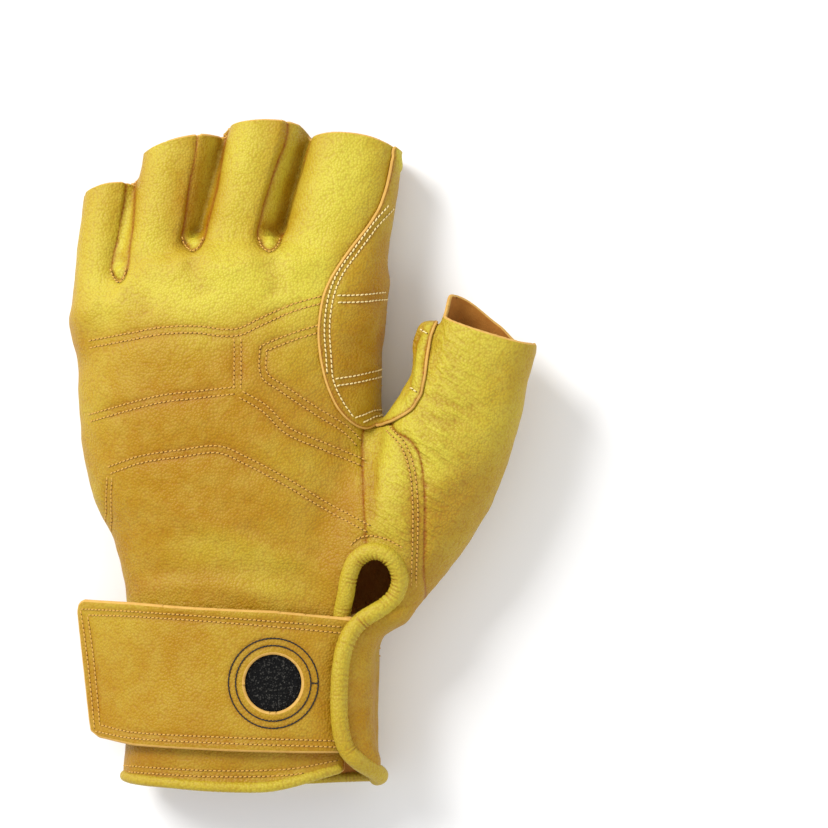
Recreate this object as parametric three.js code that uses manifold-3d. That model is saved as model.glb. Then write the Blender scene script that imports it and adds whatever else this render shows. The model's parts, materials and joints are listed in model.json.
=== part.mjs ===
// A half-finger leather climbing glove for the left hand, lying on its palm with the back of the hand up.
// Millimetres, +Z up, fingers along +Y, thumb towards +X, origin on the flat of the palm that rests.
// Every piece of leather is a solid of its own, cut from one hollow hand form along the glove's seams.
import * as THREE from "three";
import { mergeVertices } from "three/addons/utils/BufferGeometryUtils.js";
import Module from "manifold-3d";

const wasm = await Module();
wasm.setup();

// Driving dimensions
const PALM_WIDTH = 104; // across the knuckles
const PALM_DEPTH = 38; // palm to back of hand, filled
const BODY_LENGTH = 175; // cuff edge to the middle finger's fork
const FINGER_REACH = 64.4; // middle finger, from the knuckle row to its cut end
const FINGER_DEPTH = 27; // middle finger's root, palm to back
const THUMB_WIDTH = 32; // across the thumb's cut end
const THUMB_DEPTH = 22; // palm to back at the thumb's cut end
const LEATHER = 1.3; // wall of the hand's leather
const PATCH_LEATHER = 1.2; // wall of the palm's second layer
const PATCH_STOP = 8; // how far short of a finger's end the second layer stops
const SEAM_GAP = 0.3; // clearance between neighbouring pieces
const BINDING_DIAMETER = 5.6; // rolled edge of the cuff
const STRAP_THICKNESS = 2.2; // two layers of leather
const STRAP_HOLE = 18.6; // diameter of the round window
const HOOK_THICKNESS = 1.0; // fastener disc behind the window
const LOOP_THICKNESS = 0.9; // fastener patch on the cuff

// Sizes that follow from those
const HALF_WIDTH = PALM_WIDTH / 2;
const HEM_Y = -0.5886 * BODY_LENGTH;
const SEAM_Z = 0.37 * PALM_DEPTH;
const PATCH_LEVEL = PATCH_LEATHER + SEAM_GAP;
const TALL = 3 * PALM_DEPTH;
const KNUCKLE_ROW = 0.874; // in BODY_LENGTH
const KNUCKLE_ARCH = 0.08 * BODY_LENGTH;
const HEM_ARCH = 0.024 * BODY_LENGTH;
const BINDING_RADIUS = BINDING_DIAMETER / 2;
const STRAP_BED = LOOP_THICKNESS + 2 * SEAM_GAP;
const FLAP_LIFT = STRAP_BED + STRAP_THICKNESS + 3 * SEAM_GAP + BINDING_RADIUS + LEATHER / 2;

// Counts and shapes of the sections
const HAND_SIDES = 32;
const HAND_POWER = 2.35;
const FINGER_SIDES = 16;
const FINGER_POWER = 2.4;
const THUMB_SIDES = 20;
const THUMB_POWER = 2.3;
const BINDING_SIDES = 8;

// Hand: along in BODY_LENGTH from the hem, half widths in HALF_WIDTH, back in PALM_DEPTH
const HAND_SECTIONS = [
  { along: 0.0, ulnar: 0.72, radial: 0.895, back: 0.92 },
  { along: 0.075, ulnar: 0.7, radial: 0.895, back: 0.905 },
  { along: 0.16, ulnar: 0.69, radial: 0.895, back: 0.885 },
  { along: 0.245, ulnar: 0.69, radial: 0.9, back: 0.875 },
  { along: 0.343, ulnar: 0.7, radial: 0.92, back: 0.875 },
  { along: 0.446, ulnar: 0.765, radial: 0.95, back: 0.905 },
  { along: 0.537, ulnar: 0.895, radial: 0.965, back: 0.945 },
  { along: 0.657, ulnar: 0.955, radial: 0.95, back: 0.98 },
  { along: 0.789, ulnar: 0.975, radial: 0.93, back: 1.0 },
  { along: 0.914, ulnar: 1.01, radial: 0.945, back: 0.95 },
  { along: 0.985, ulnar: 0.99, radial: 0.95, back: 0.86 },
  { along: 1.02, ulnar: 0.95, radial: 0.9, back: 0.72 },
];

// Fingers, little to index: root in HALF_WIDTH, reach in FINGER_REACH,
// lean (from +Y towards the thumb) and roll (of the section) in degrees
const FINGER_LINES = [
  { root: -0.845, lean: 5.5, reach: 0.66, roll: 16 },
  { root: -0.575, lean: 15, reach: 0.908, roll: 12 },
  { root: -0.103, lean: 17.3, reach: 1.0, roll: 8 },
  { root: 0.535, lean: 12.8, reach: 0.898, roll: 4 },
];

// The same fingers' half sizes at root and tip: wide in HALF_WIDTH, deep in FINGER_DEPTH
const FINGER_SIZES = [
  { wideRoot: 0.17, wideTip: 0.172, deepRoot: 0.43, deepTip: 0.36 },
  { wideRoot: 0.231, wideTip: 0.237, deepRoot: 0.49, deepTip: 0.425 },
  { wideRoot: 0.231, wideTip: 0.227, deepRoot: 0.5, deepTip: 0.43 },
  { wideRoot: 0.365, wideTip: 0.285, deepRoot: 0.52, deepTip: 0.445 },
];
const FINGERS = FINGER_LINES.map((line, i) => ({ ...line, ...FINGER_SIZES[i] }));

// Thumb: across in HALF_WIDTH, along in BODY_LENGTH, height in PALM_DEPTH,
// half sizes wide in THUMB_WIDTH and deep in THUMB_DEPTH
const THUMB_SECTIONS = [
  { across: 0.635, along: 0.291, height: 0.45, wide: 0.41, deep: 0.64 },
  { across: 0.846, along: 0.383, height: 0.47, wide: 0.56, deep: 0.73 },
  { across: 1.02, along: 0.474, height: 0.5, wide: 0.66, deep: 0.8 },
  { across: 1.23, along: 0.571, height: 0.53, wide: 0.67, deep: 0.77 },
  { across: 1.404, along: 0.674, height: 0.58, wide: 0.61, deep: 0.68 },
  { across: 1.53, along: 0.766, height: 0.63, wide: 0.53, deep: 0.57 },
  { across: 1.615, along: 0.846, height: 0.68, wide: 0.5, deep: 0.5 },
];

// Seams and edges in plan: [across in HALF_WIDTH, along in BODY_LENGTH from the hem]
const THUMB_BACK_SEAM = [
  [1.02, 0.735], [0.99, 0.69], [1.04, 0.662], [1.14, 0.644], [1.2, 0.613],
  [1.23, 0.555], [1.23, 0.46], [1.21, 0.35], [1.13, 0.29],
];
const THUMB_PALM_SEAM = [
  [1.13, 0.29], [0.77, 0.257], [0.38, 0.231], [-0.08, 0.24], [-0.385, 0.28], [-0.577, 0.354],
];
const THUMB_WEB_SEAM = [[-0.577, 0.354], [-0.2, 0.47], [0.35, 0.58], [0.75, 0.66], [1.02, 0.735]];
const CROTCH_LINE = [[1.02, 0.735], [1.06, 0.82], [1.1, 0.92], [1.3, 1.25]];
const BACK_EDGE = [
  [0.71, -0.2], [0.72, 0.05], [0.745, 0.25], [0.79, 0.32], [0.85, 0.38],
  [0.93, 0.44], [0.93, 0.68], [1.02, 0.735],
];
const PATCH_HEEL_EDGE = [
  [-1.2, 0.43], [-0.71, 0.386], [-0.48, 0.4], [-0.2, 0.44], [0.2, 0.5],
  [0.65, 0.565], [1.05, 0.66], [1.33, 0.76], [1.56, 0.9],
];
const PATCH_SIDE_EDGE = [
  [0.94, 1.2], [0.93, 1.1], [0.86, 1.02], [0.72, 0.955], [0.61, 0.9], [0.56, 0.85],
  [0.545, 0.8], [0.58, 0.74], [0.66, 0.69], [0.8, 0.66], [1.0, 0.68],
];
const PATCH_THUMB_EDGE = [[1.0, 0.68], [1.1, 0.7], [1.17, 0.745], [1.26, 0.82], [1.38, 0.92]];
const PATCH_SLIT = [[-1.2, 0.765], [-0.8, 0.787], [-0.42, 0.822], [-0.8, 0.805], [-1.2, 0.787]];
const STRAP_OUTLINE = [
  [-0.885, 0.125], [-0.878, 0.113], [-0.845, 0.106], [0.74, 0.066],
  [0.74, 0.31], [-0.93, 0.343], [-0.962, 0.34], [-0.972, 0.328],
];
const LOOP_OUTLINE = [[-0.15, 0.1], [0.7, 0.085], [0.7, 0.305], [-0.15, 0.315]];
const STRAP_WINDOW = [0.32, 0.192];
const STRAP_LEAVES = -0.46; // where the strap leaves the cuff, in HALF_WIDTH
const STRAP_CURL = 0.006; // how fast its free end curls down, per mm

// Finger forks in plan: where the back shows the fork's end, in HALF_WIDTH and BODY_LENGTH
const FORKS = [
  { name: "little_ring", across: -0.735, along: 0.95 },
  { name: "ring_middle", across: -0.215, along: 1.0 },
  { name: "middle_index", across: 0.26, along: 1.0 },
];
const FORK_TONGUE = 0.055; // how far the fork runs down the palm, in BODY_LENGTH
const FORK_WEB = 0.03; // how far it runs under the back there, in BODY_LENGTH
const FORK_TAB = 0.02; // how far it shows on the back, in BODY_LENGTH
const FORK_WING = 0.09; // its half width there, in HALF_WIDTH
const FORK_SEAM_BACK = 0.52; // seam heights on a finger's side, in its half depth
const FORK_SEAM_PALM = -0.55;

// The rolled edge over the eye and down the flap: angle in degrees above level, seen from the
// cuff's axis, along in BODY_LENGTH, lift in FLAP_LIFT. The first rows are the eye's near limb.
const CUFF_AXIS = 20;
const EYE_ROUTE = [
  { angle: 41, along: 0.32, lift: 0 },
  { angle: 42.4, along: 0.375, lift: 0 },
  { angle: 41, along: 0.418, lift: 0 },
  { angle: 36.8, along: 0.438, lift: 0 },
  { angle: 31.5, along: 0.418, lift: 0 },
];
const FLAP_ROUTE = [
  { angle: 25.8, along: 0.375, lift: 0 },
  { angle: 24.5, along: 0.332, lift: 0.25 },
  { angle: 30.8, along: 0.3, lift: 0.6 },
  { angle: 37.8, along: 0.27, lift: 0.93 },
  { angle: 42.5, along: 0.23, lift: 1 },
  { angle: 46, along: 0.17, lift: 1 },
  { angle: 46.5, along: 0.1, lift: 1 },
  { angle: 43.8, along: 0.06, lift: 1 },
  { angle: 35, along: 0.035, lift: 1 },
  { angle: 20, along: 0.03, lift: 0.6 },
  { angle: 4, along: 0.017, lift: 0 },
];
const FLAP_FOOT = { angle: 43.8, along: 0.033, lift: 1 }; // the flap's corner, before it is rounded
const FLAP_CORNER = 8; // the rows of FLAP_ROUTE above that corner
const FLAP_ROOT = 7; // where the flap leaves the palm's leather, degrees
const FLAP_LAP = 0.2; // how far it stands proud of the leather that it joins

const at = (across, along) => new THREE.Vector2(across * HALF_WIDTH, HEM_Y + along * BODY_LENGTH);
const outline = (shares) => shares.map(([across, along]) => at(across, along));
const smoothLine = (shares) => new THREE.SplineCurve(outline(shares)).getPoints(2 * (shares.length - 1));
const lerp = THREE.MathUtils.lerp;
const radians = THREE.MathUtils.degToRad;
const smoothstep = THREE.MathUtils.smoothstep;
const signedPower = (value, power) => Math.sign(value) * Math.abs(value) ** power;

// A closed geometry as a solid that can be cut and joined
function solidOf(geometry) {
  const bare = new THREE.BufferGeometry().setAttribute("position", geometry.getAttribute("position"));
  if (geometry.index) bare.setIndex(geometry.index);
  const merged = mergeVertices(bare, 1e-4);
  const vertProperties = merged.attributes.position.array;
  const triVerts = new Uint32Array(merged.index.array);
  return new wasm.Manifold(new wasm.Mesh({ numProp: 3, vertProperties, triVerts }));
}

// A solid skinned over rings of equal length, with its two ends closed
function loft(rings) {
  const sides = rings[0].length;
  const points = rings.flat();
  const centre = (ring) => ring.reduce((sum, p) => sum.add(p), new THREE.Vector3()).divideScalar(sides);
  const first = points.push(centre(rings[0])) - 1;
  const last = points.push(centre(rings.at(-1))) - 1;
  const index = [];
  for (let side = 0; side < sides; side++) {
    const next = (side + 1) % sides;
    for (let row = 0; row < rings.length - 1; row++) {
      const low = row * sides;
      const high = low + sides;
      index.push(low + side, low + next, high + next, low + side, high + next, high + side);
    }
    const top = (rings.length - 1) * sides;
    index.push(first, next, side, last, top + side, top + next);
  }
  const solid = solidOf(new THREE.BufferGeometry().setFromPoints(points).setIndex(index));
  if (solid.volume() > 0) return solid;
  for (let i = 0; i < index.length; i += 3) [index[i], index[i + 1]] = [index[i + 1], index[i]];
  return solidOf(new THREE.BufferGeometry().setFromPoints(points).setIndex(index));
}

// A sheet of leather: a grid of points thickened inwards along its own normals
function sheet(pointAt, columns, rows, thickness) {
  const outer = [];
  const inner = [];
  const step = 1e-3;
  for (let row = 0; row <= rows; row++)
    for (let column = 0; column <= columns; column++) {
      const u = column / columns;
      const v = row / rows;
      const p = pointAt(u, v);
      const du = pointAt(u + step, v).sub(pointAt(u - step, v));
      const dv = pointAt(u, v + step).sub(pointAt(u, v - step));
      outer.push(p);
      inner.push(p.clone().addScaledVector(du.cross(dv).normalize(), -thickness));
    }
  const wide = columns + 1;
  const count = outer.length;
  const index = [];
  const quad = (a, b, c, d) => index.push(a, b, c, a, c, d);
  for (let row = 0; row < rows; row++)
    for (let column = 0; column < columns; column++) {
      const a = row * wide + column;
      quad(a, a + 1, a + wide + 1, a + wide);
      quad(count + a, count + a + wide, count + a + wide + 1, count + a + 1);
    }
  for (let column = 0; column < columns; column++) {
    const far = rows * wide + column;
    quad(column, count + column, count + column + 1, column + 1);
    quad(far + 1, count + far + 1, count + far, far);
  }
  for (let row = 0; row < rows; row++) {
    const a = row * wide;
    const b = a + columns;
    quad(a + wide, count + a + wide, count + a, a);
    quad(b, count + b, count + b + wide, b + wide);
  }
  return solidOf(new THREE.BufferGeometry().setFromPoints([...outer, ...inner]).setIndex(index));
}

// A vertical prism over an outline in plan
function prism(points, low, high) {
  const settings = { depth: high - low, bevelEnabled: false };
  return solidOf(new THREE.ExtrudeGeometry(new THREE.Shape(points), settings).translate(0, 0, low));
}

// A rolled edge: a tube along a route in space
function roll(points, radius) {
  const path = new THREE.CatmullRomCurve3(points);
  const ring = Array.from({ length: BINDING_SIDES }, (_, i) => {
    const angle = (i / BINDING_SIDES) * 2 * Math.PI;
    return new THREE.Vector2(radius * Math.cos(angle), radius * Math.sin(angle));
  });
  const steps = Math.round(path.getLength() / (0.9 * BINDING_DIAMETER));
  const settings = { steps, extrudePath: path, bevelEnabled: false };
  return solidOf(new THREE.ExtrudeGeometry(new THREE.Shape(ring), settings));
}

// An oval section across an axis; its back and palm halves may differ in height
function ovalRing({ centre, across, up, half, back, palm, power, sides }) {
  return Array.from({ length: sides }, (_, i) => {
    const angle = ((i + 0.5) / sides) * 2 * Math.PI;
    const u = half * signedPower(Math.cos(angle), 2 / power);
    const v = signedPower(Math.sin(angle), 2 / power);
    return centre.clone().addScaledVector(across, u).addScaledVector(up, v * (v > 0 ? back : palm));
  });
}

// The hem and the knuckle row bow in plan: y from x and the place along the hand
function bowed(x, along) {
  const t = (x - 0.09 * HALF_WIDTH) / HALF_WIDTH;
  const towardsFingers = smoothstep(along, 0.55, 1.0);
  const towardsHem = 1 - smoothstep(along, 0.0, 0.2);
  return HEM_Y + along * BODY_LENGTH + t * t * (HEM_ARCH * towardsHem - KNUCKLE_ARCH * towardsFingers);
}

// grow moves the whole surface out or in; reach lengthens every open end
function handForm(grow, reach) {
  const rings = HAND_SECTIONS.map(({ along, ulnar, radial, back }) => {
    const ring = ovalRing({
      centre: new THREE.Vector3(((radial - ulnar) / 2) * HALF_WIDTH, 0, SEAM_Z),
      across: new THREE.Vector3(1, 0, 0),
      up: new THREE.Vector3(0, 0, 1),
      half: ((radial + ulnar) / 2) * HALF_WIDTH + grow,
      back: back * PALM_DEPTH - SEAM_Z + grow,
      palm: SEAM_Z + 1 + grow,
      power: HAND_POWER,
      sides: HAND_SIDES,
    });
    const end = along > 1 ? grow : 0;
    return ring.map((p) => p.setY(bowed(p.x, along) + end));
  });
  if (reach) rings.unshift(rings[0].map((p) => p.clone().setY(p.y - reach)));
  return loft(rings);
}

// A finger's centre line and half sizes at t, 0 at the knuckle row and 1 at its cut end
function fingerAt(finger, t) {
  const lean = radians(finger.lean);
  const length = finger.reach * FINGER_REACH;
  const root = at(finger.root, KNUCKLE_ROW);
  const rootZ = 0.47 * PALM_DEPTH;
  const tipZ = finger.deepTip * FINGER_DEPTH + 0.02 * PALM_DEPTH;
  const drop = (tipZ - rootZ) / length;
  const direction = new THREE.Vector3(Math.sin(lean), Math.cos(lean), drop).normalize();
  const centre = new THREE.Vector3(root.x, root.y, rootZ).addScaledVector(direction, t * length);
  const half = lerp(finger.wideRoot, finger.wideTip, t) * HALF_WIDTH;
  const deep = lerp(finger.deepRoot, finger.deepTip, t) * FINGER_DEPTH;
  const level = new THREE.Vector3(direction.y, -direction.x, 0).normalize();
  const across = level.clone().applyAxisAngle(direction, radians(-finger.roll));
  const up = new THREE.Vector3().crossVectors(across, direction);
  return { centre, direction, across, up, half, deep, length };
}

function fingerForm(finger, grow, reach) {
  const stops = [-0.25, 0, 0.5, 1];
  if (reach) stops.push(1 + reach / fingerAt(finger, 0).length);
  const rings = stops.map((t) => {
    const { centre, across, up, half, deep } = fingerAt(finger, t);
    const shrink = t < 0 ? 0.75 : 1;
    const depth = shrink * deep + grow;
    const size = { half: shrink * half + grow, back: depth, palm: depth };
    return ovalRing({ centre, across, up, ...size, power: FINGER_POWER, sides: FINGER_SIDES });
  });
  return loft(rings);
}

function thumbForm(grow, reach) {
  const centres = THUMB_SECTIONS.map(({ across, along, height }) => {
    const place = at(across, along);
    return new THREE.Vector3(place.x, place.y, height * PALM_DEPTH);
  });
  const rings = THUMB_SECTIONS.map((section, i) => {
    const before = centres[Math.max(i - 1, 0)];
    const after = centres[Math.min(i + 1, centres.length - 1)];
    const direction = after.clone().sub(before).normalize();
    const across = new THREE.Vector3(direction.y, -direction.x, 0).normalize();
    const up = new THREE.Vector3().crossVectors(across, direction);
    const depth = section.deep * THUMB_DEPTH + grow;
    const size = { half: section.wide * THUMB_WIDTH + grow, back: depth, palm: depth };
    return ovalRing({ centre: centres[i], across, up, ...size, power: THUMB_POWER, sides: THUMB_SIDES });
  });
  if (reach) {
    const onwards = centres.at(-1).clone().sub(centres.at(-2)).normalize().multiplyScalar(reach);
    rings.push(rings.at(-1).map((p) => p.clone().add(onwards)));
  }
  return loft(rings);
}

// The whole hand form, flattened where it lies
function gloveForm(grow, reach = 0) {
  const digits = [thumbForm(grow, reach), ...FINGERS.map((finger) => fingerForm(finger, grow, reach))];
  const whole = digits.reduce((sum, digit) => sum.add(digit), handForm(grow, reach));
  return whole.intersect(prism([at(-4, -2), at(5, -2), at(5, 3), at(-4, 3)], PATCH_LEVEL - grow, TALL));
}

// The first surface that a ray meets
function surfaceFinder(solid) {
  const mesh = meshOf(solid, 0xffffff, 1);
  const ray = new THREE.Raycaster();
  return (origin, direction) => {
    ray.set(origin, direction);
    return ray.intersectObject(mesh)[0].point;
  };
}

function meshOf(solid, color, roughness) {
  const { vertProperties, triVerts } = solid.getMesh();
  const geometry = new THREE.BufferGeometry()
    .setAttribute("position", new THREE.BufferAttribute(new Float32Array(vertProperties), 3))
    .setIndex(new THREE.BufferAttribute(new Uint32Array(triVerts), 1));
  geometry.computeVertexNormals();
  return new THREE.Mesh(geometry, new THREE.MeshStandardMaterial({ color, roughness, metalness: 0 }));
}

const outerForm = gloveForm(0);
const shell = outerForm.subtract(gloveForm(-LEATHER, 2 * LEATHER + PALM_DEPTH));
const findOuter = surfaceFinder(outerForm);

// A point on the glove's skin at an angle above level seen from the cuff's axis, lifted off the leather
function skinPoint(angle, y, lift) {
  const outwards = new THREE.Vector3(Math.cos(radians(angle)), 0, Math.sin(radians(angle)));
  const axis = new THREE.Vector3(CUFF_AXIS, y, SEAM_Z);
  const origin = axis.clone().addScaledVector(outwards, TALL);
  return findOuter(origin, outwards.clone().negate()).addScaledVector(outwards, lift);
}

// An open line moved sideways, to the left of its direction
function beside(points, distance) {
  return points.map((p, i) => {
    const before = points[Math.max(i - 1, 0)];
    const after = points[Math.min(i + 1, points.length - 1)];
    const along = after.clone().sub(before).normalize();
    return new THREE.Vector2(p.x - along.y * distance, p.y + along.x * distance);
  });
}

// Regions of the form, one for each piece; clear widens a region across its seams
function forkRegion(i, clear) {
  const fork = FORKS[i];
  const corner = (finger, t, seam, away) => {
    const { centre, deep } = fingerAt(finger, (t * FINGER_REACH) / fingerAt(finger, 0).length);
    const y = HEM_Y + KNUCKLE_ROW * BODY_LENGTH + t * FINGER_REACH;
    return new THREE.Vector3(centre.x, y, centre.z + seam * deep + away);
  };
  const across = (t) => [
    corner(FINGERS[i], t, FORK_SEAM_PALM, -clear),
    corner(FINGERS[i + 1], t, FORK_SEAM_PALM, -clear),
    corner(FINGERS[i + 1], t, FORK_SEAM_BACK, clear),
    corner(FINGERS[i], t, FORK_SEAM_BACK, clear),
  ];
  const start = ((fork.along - FORK_WEB - KNUCKLE_ROW) * BODY_LENGTH - clear) / FINGER_REACH;
  const side = loft([start, 0.6, 1.3].map(across));
  const flare = clear / HALF_WIDTH;
  const wedge = (length, tip, wing, low, high) => {
    const foot = fork.along - length - clear / BODY_LENGTH;
    const head = fork.along + 0.03;
    const corners = [
      [fork.across - tip - flare, foot],
      [fork.across + tip + flare, foot],
      [fork.across + wing + flare, head],
      [fork.across - wing - flare, head],
    ];
    return prism(outline(corners), low, high);
  };
  const tongue = wedge(FORK_TONGUE, FORK_WING / 5, FORK_WING, -PALM_DEPTH, SEAM_Z);
  const tab = wedge(FORK_TAB, FORK_WING / 4, FORK_WING / 2, SEAM_Z, TALL);
  return side.add(tongue).add(tab);
}

const withoutForks = (solid) => FORKS.reduce((left, _, i) => left.subtract(forkRegion(i, SEAM_GAP)), solid);

function thumbRegion(clear) {
  const crotch = smoothLine(CROTCH_LINE).reverse();
  const web = smoothLine(THUMB_WEB_SEAM).reverse().slice(1);
  const heel = smoothLine(THUMB_PALM_SEAM).reverse().slice(1);
  const close = (line) => [...beside(line, -clear), at(5, 0.3), at(5, 1.25)];
  const upper = close([...crotch, ...smoothLine(THUMB_BACK_SEAM).slice(1)]);
  const lower = close([...crotch, ...web, ...heel]);
  return prism(upper, SEAM_Z, TALL).add(prism(lower, -PALM_DEPTH, SEAM_Z));
}

function backRegion(clear) {
  const around = [at(5, 0.735), at(5, 3), at(-5, 3), at(-5, -0.2)];
  return prism([...beside(outline(BACK_EDGE), -clear), ...around], SEAM_Z - clear, TALL);
}

// Under the flap the wrist is open
function slitRegion() {
  const slope = Math.tan(radians(FLAP_ROOT + 2));
  const side = [
    new THREE.Vector2(CUFF_AXIS, SEAM_Z),
    new THREE.Vector2(CUFF_AXIS + TALL, SEAM_Z + slope * TALL),
    new THREE.Vector2(CUFF_AXIS + TALL, TALL),
    new THREE.Vector2(CUFF_AXIS, TALL),
  ];
  const end = HEM_Y + (FLAP_ROUTE[0].along - 0.012) * BODY_LENGTH;
  const length = 0.5 * BODY_LENGTH;
  const upright = new THREE.ExtrudeGeometry(new THREE.Shape(side), { depth: length, bevelEnabled: false });
  return solidOf(upright.rotateX(Math.PI / 2).translate(0, end, 0));
}

function patchRegion() {
  const tips = FINGERS.flatMap((finger) => {
    const { centre, across, half } = fingerAt(finger, 1 - PATCH_STOP / fingerAt(finger, 0).length);
    return [-1.2, 1.2].map((side) => centre.clone().addScaledVector(across, side * half));
  });
  const fingerEnds = tips.map(({ x, y }) => new THREE.Vector2(x, y)).reverse();
  const palm = [...smoothLine(PATCH_HEEL_EDGE), at(1.3, 1.25), ...fingerEnds, at(-1.2, 1.1)];
  const crotch = smoothLine(CROTCH_LINE);
  const side = [...smoothLine(PATCH_SIDE_EDGE), ...crotch.slice(1)];
  const thumb = [...smoothLine(PATCH_THUMB_EDGE), ...[...crotch].reverse()];
  return prism(palm, -PALM_DEPTH, SEAM_Z)
    .subtract(prism(outline(PATCH_SLIT), -PALM_DEPTH, SEAM_Z))
    .add(prism(side, SEAM_Z, TALL))
    .add(prism(thumb, SEAM_Z, TALL));
}

// Rolled edges: their centre lines run in the middle of the leather's wall
const routePoint = ({ angle, along, lift }) =>
  skinPoint(angle, HEM_Y + along * BODY_LENGTH, lift * FLAP_LIFT - LEATHER / 2);
const eyeLine = EYE_ROUTE.map(routePoint);
const flapLine = FLAP_ROUTE.map(routePoint);

function hemLine() {
  const { ulnar, radial, back } = HAND_SECTIONS[0];
  const centreX = ((radial - ulnar) / 2) * HALF_WIDTH;
  const half = ((radial + ulnar) / 2) * HALF_WIDTH - LEATHER / 2;
  const heights = { back: back * PALM_DEPTH - SEAM_Z - LEATHER / 2, palm: SEAM_Z + 1 - LEATHER / 2 };
  const stops = 28;
  return Array.from({ length: stops + 1 }, (_, i) => {
    const angle = radians(lerp(0, -313, i / stops));
    const v = signedPower(Math.sin(angle), 2 / HAND_POWER);
    const x = centreX + half * signedPower(Math.cos(angle), 2 / HAND_POWER);
    const z = SEAM_Z + v * (v > 0 ? heights.back : heights.palm);
    return new THREE.Vector3(x, bowed(x, 0), Math.max(z, BINDING_RADIUS));
  });
}

// The flap: the palm's leather carried on from the side of the wrist, rising over the strap to its edge
function flapSheet() {
  const edge = [...FLAP_ROUTE.slice(0, FLAP_CORNER), FLAP_FOOT].reverse();
  const edgeAt = (v, key) => {
    const place = THREE.MathUtils.clamp(v, 0, 1) * (edge.length - 1);
    const row = Math.min(Math.floor(place), edge.length - 2);
    return lerp(edge[row][key], edge[row + 1][key], place - row);
  };
  const pointAt = (u, v) => {
    const lift = FLAP_LAP + FLAP_LIFT * edgeAt(v, "lift") * smoothstep(u, 0.0, 0.7);
    const angle = lerp(FLAP_ROOT, edgeAt(v, "angle"), u);
    return skinPoint(angle, HEM_Y + edgeAt(v, "along") * BODY_LENGTH, lift);
  };
  return sheet((u, v) => pointAt(1 - u, v), 8, 16, LEATHER);
}

// The strap and its fasteners lie over the cuff, each on its own level above the skin
function overCuff(level, thickness) {
  const find = surfaceFinder(gloveForm(level + thickness));
  const height = (x, y) => find(new THREE.Vector3(x, y, TALL), new THREE.Vector3(0, 0, -1)).z;
  const leaves = STRAP_LEAVES * HALF_WIDTH;
  const middle = at(...STRAP_WINDOW).y;
  const slope = (height(leaves + 4, middle) - height(leaves, middle)) / 4;
  const pointAt = (u, v) => {
    const { x, y } = at(lerp(-1.02, 0.8, u), lerp(0.05, 0.36, v));
    if (x > leaves) return new THREE.Vector3(x, y, height(x, y));
    const past = leaves - x;
    return new THREE.Vector3(x, y, height(leaves, y) - past * (slope + STRAP_CURL * past));
  };
  return sheet(pointAt, 22, 4, thickness);
}

function windowPlug(radius) {
  const { x, y } = at(...STRAP_WINDOW);
  const upright = new THREE.CylinderGeometry(radius, radius, TALL, 32).rotateX(Math.PI / 2);
  return solidOf(upright.translate(x, y, 0));
}

// The pieces, cut from the form along the regions
const thumbCut = thumbRegion(SEAM_GAP);
const eyePlan = [...eyeLine, ...flapLine.slice(0, 4)].map(({ x, y }) => new THREE.Vector2(x, y));
const eyeHole = prism(eyePlan, SEAM_Z, TALL);
const edgeLine = [...eyeLine, ...flapLine];
const hem = hemLine();
const rollCut = [edgeLine, hem]
  .map((line) => roll(line, BINDING_RADIUS + SEAM_GAP))
  .reduce((sum, tube) => sum.add(tube));
const body = withoutForks(shell).subtract(rollCut).subtract(eyeHole);
const hand = body.subtract(thumbCut);
const flap = flapSheet().subtract(thumbCut).subtract(eyeHole).subtract(rollCut);
const layer = gloveForm(PATCH_LEVEL).subtract(gloveForm(SEAM_GAP));
const strap = overCuff(STRAP_BED, STRAP_THICKNESS)
  .intersect(prism(outline(STRAP_OUTLINE), 0, TALL))
  .subtract(windowPlug(STRAP_HOLE / 2))
  .subtract(gloveForm(SEAM_GAP));
const disc = overCuff(STRAP_BED, HOOK_THICKNESS).intersect(windowPlug(STRAP_HOLE / 2 - SEAM_GAP));
const loops = overCuff(SEAM_GAP, LOOP_THICKNESS)
  .intersect(prism(outline(LOOP_OUTLINE), 0, TALL))
  .subtract(gloveForm(SEAM_GAP));

const GOLD = 0xd9a92f;
const AMBER = 0xc48f24;
const BLACK = 0x17161a;

// Of each solid the main body; the cuts leave crumbs of leather at the forks
function piece(name, solid, colour) {
  const largest = solid.decompose().sort((a, b) => b.volume() - a.volume())[0];
  const mesh = meshOf(largest, colour, colour === BLACK ? 0.95 : 0.6);
  mesh.name = name;
  return mesh;
}

const group = new THREE.Group();
group.name = "climbing_glove";
group.add(
  piece("back_panel", hand.intersect(backRegion(0)), GOLD),
  piece("palm_panel", hand.subtract(backRegion(SEAM_GAP)).subtract(slitRegion()).add(flap), GOLD),
  piece("thumb", body.intersect(thumbRegion(0)), GOLD),
  ...FORKS.map(({ name }, i) => piece("fork_" + name, shell.intersect(forkRegion(i, 0)), AMBER)),
  piece("palm_patch", withoutForks(layer.intersect(patchRegion())), GOLD),
  piece("hem_binding", roll(hem, BINDING_RADIUS), AMBER),
  piece("flap_binding", roll(edgeLine, BINDING_RADIUS), AMBER),
  piece("wrist_strap", strap, GOLD),
  piece("strap_hook_patch", disc, BLACK),
  piece("cuff_loop_patch", loops, BLACK),
);

export default group;
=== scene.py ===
"""The looks of a half-finger leather climbing glove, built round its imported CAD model.

The hand is one distance field: the CAD part's sections, fitted to the photo. Its skin is cut into
panels along the seams, shaped by folds and rows of stitching, and thickened into leather.
Lengths are millimetres until a mesh is made, and photo places are pixels of the 828 by 828 picture.
"""

import json
import math

import bpy
import numpy as np
from mathutils import Matrix, Vector
from mathutils.bvhtree import BVHTree

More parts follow.
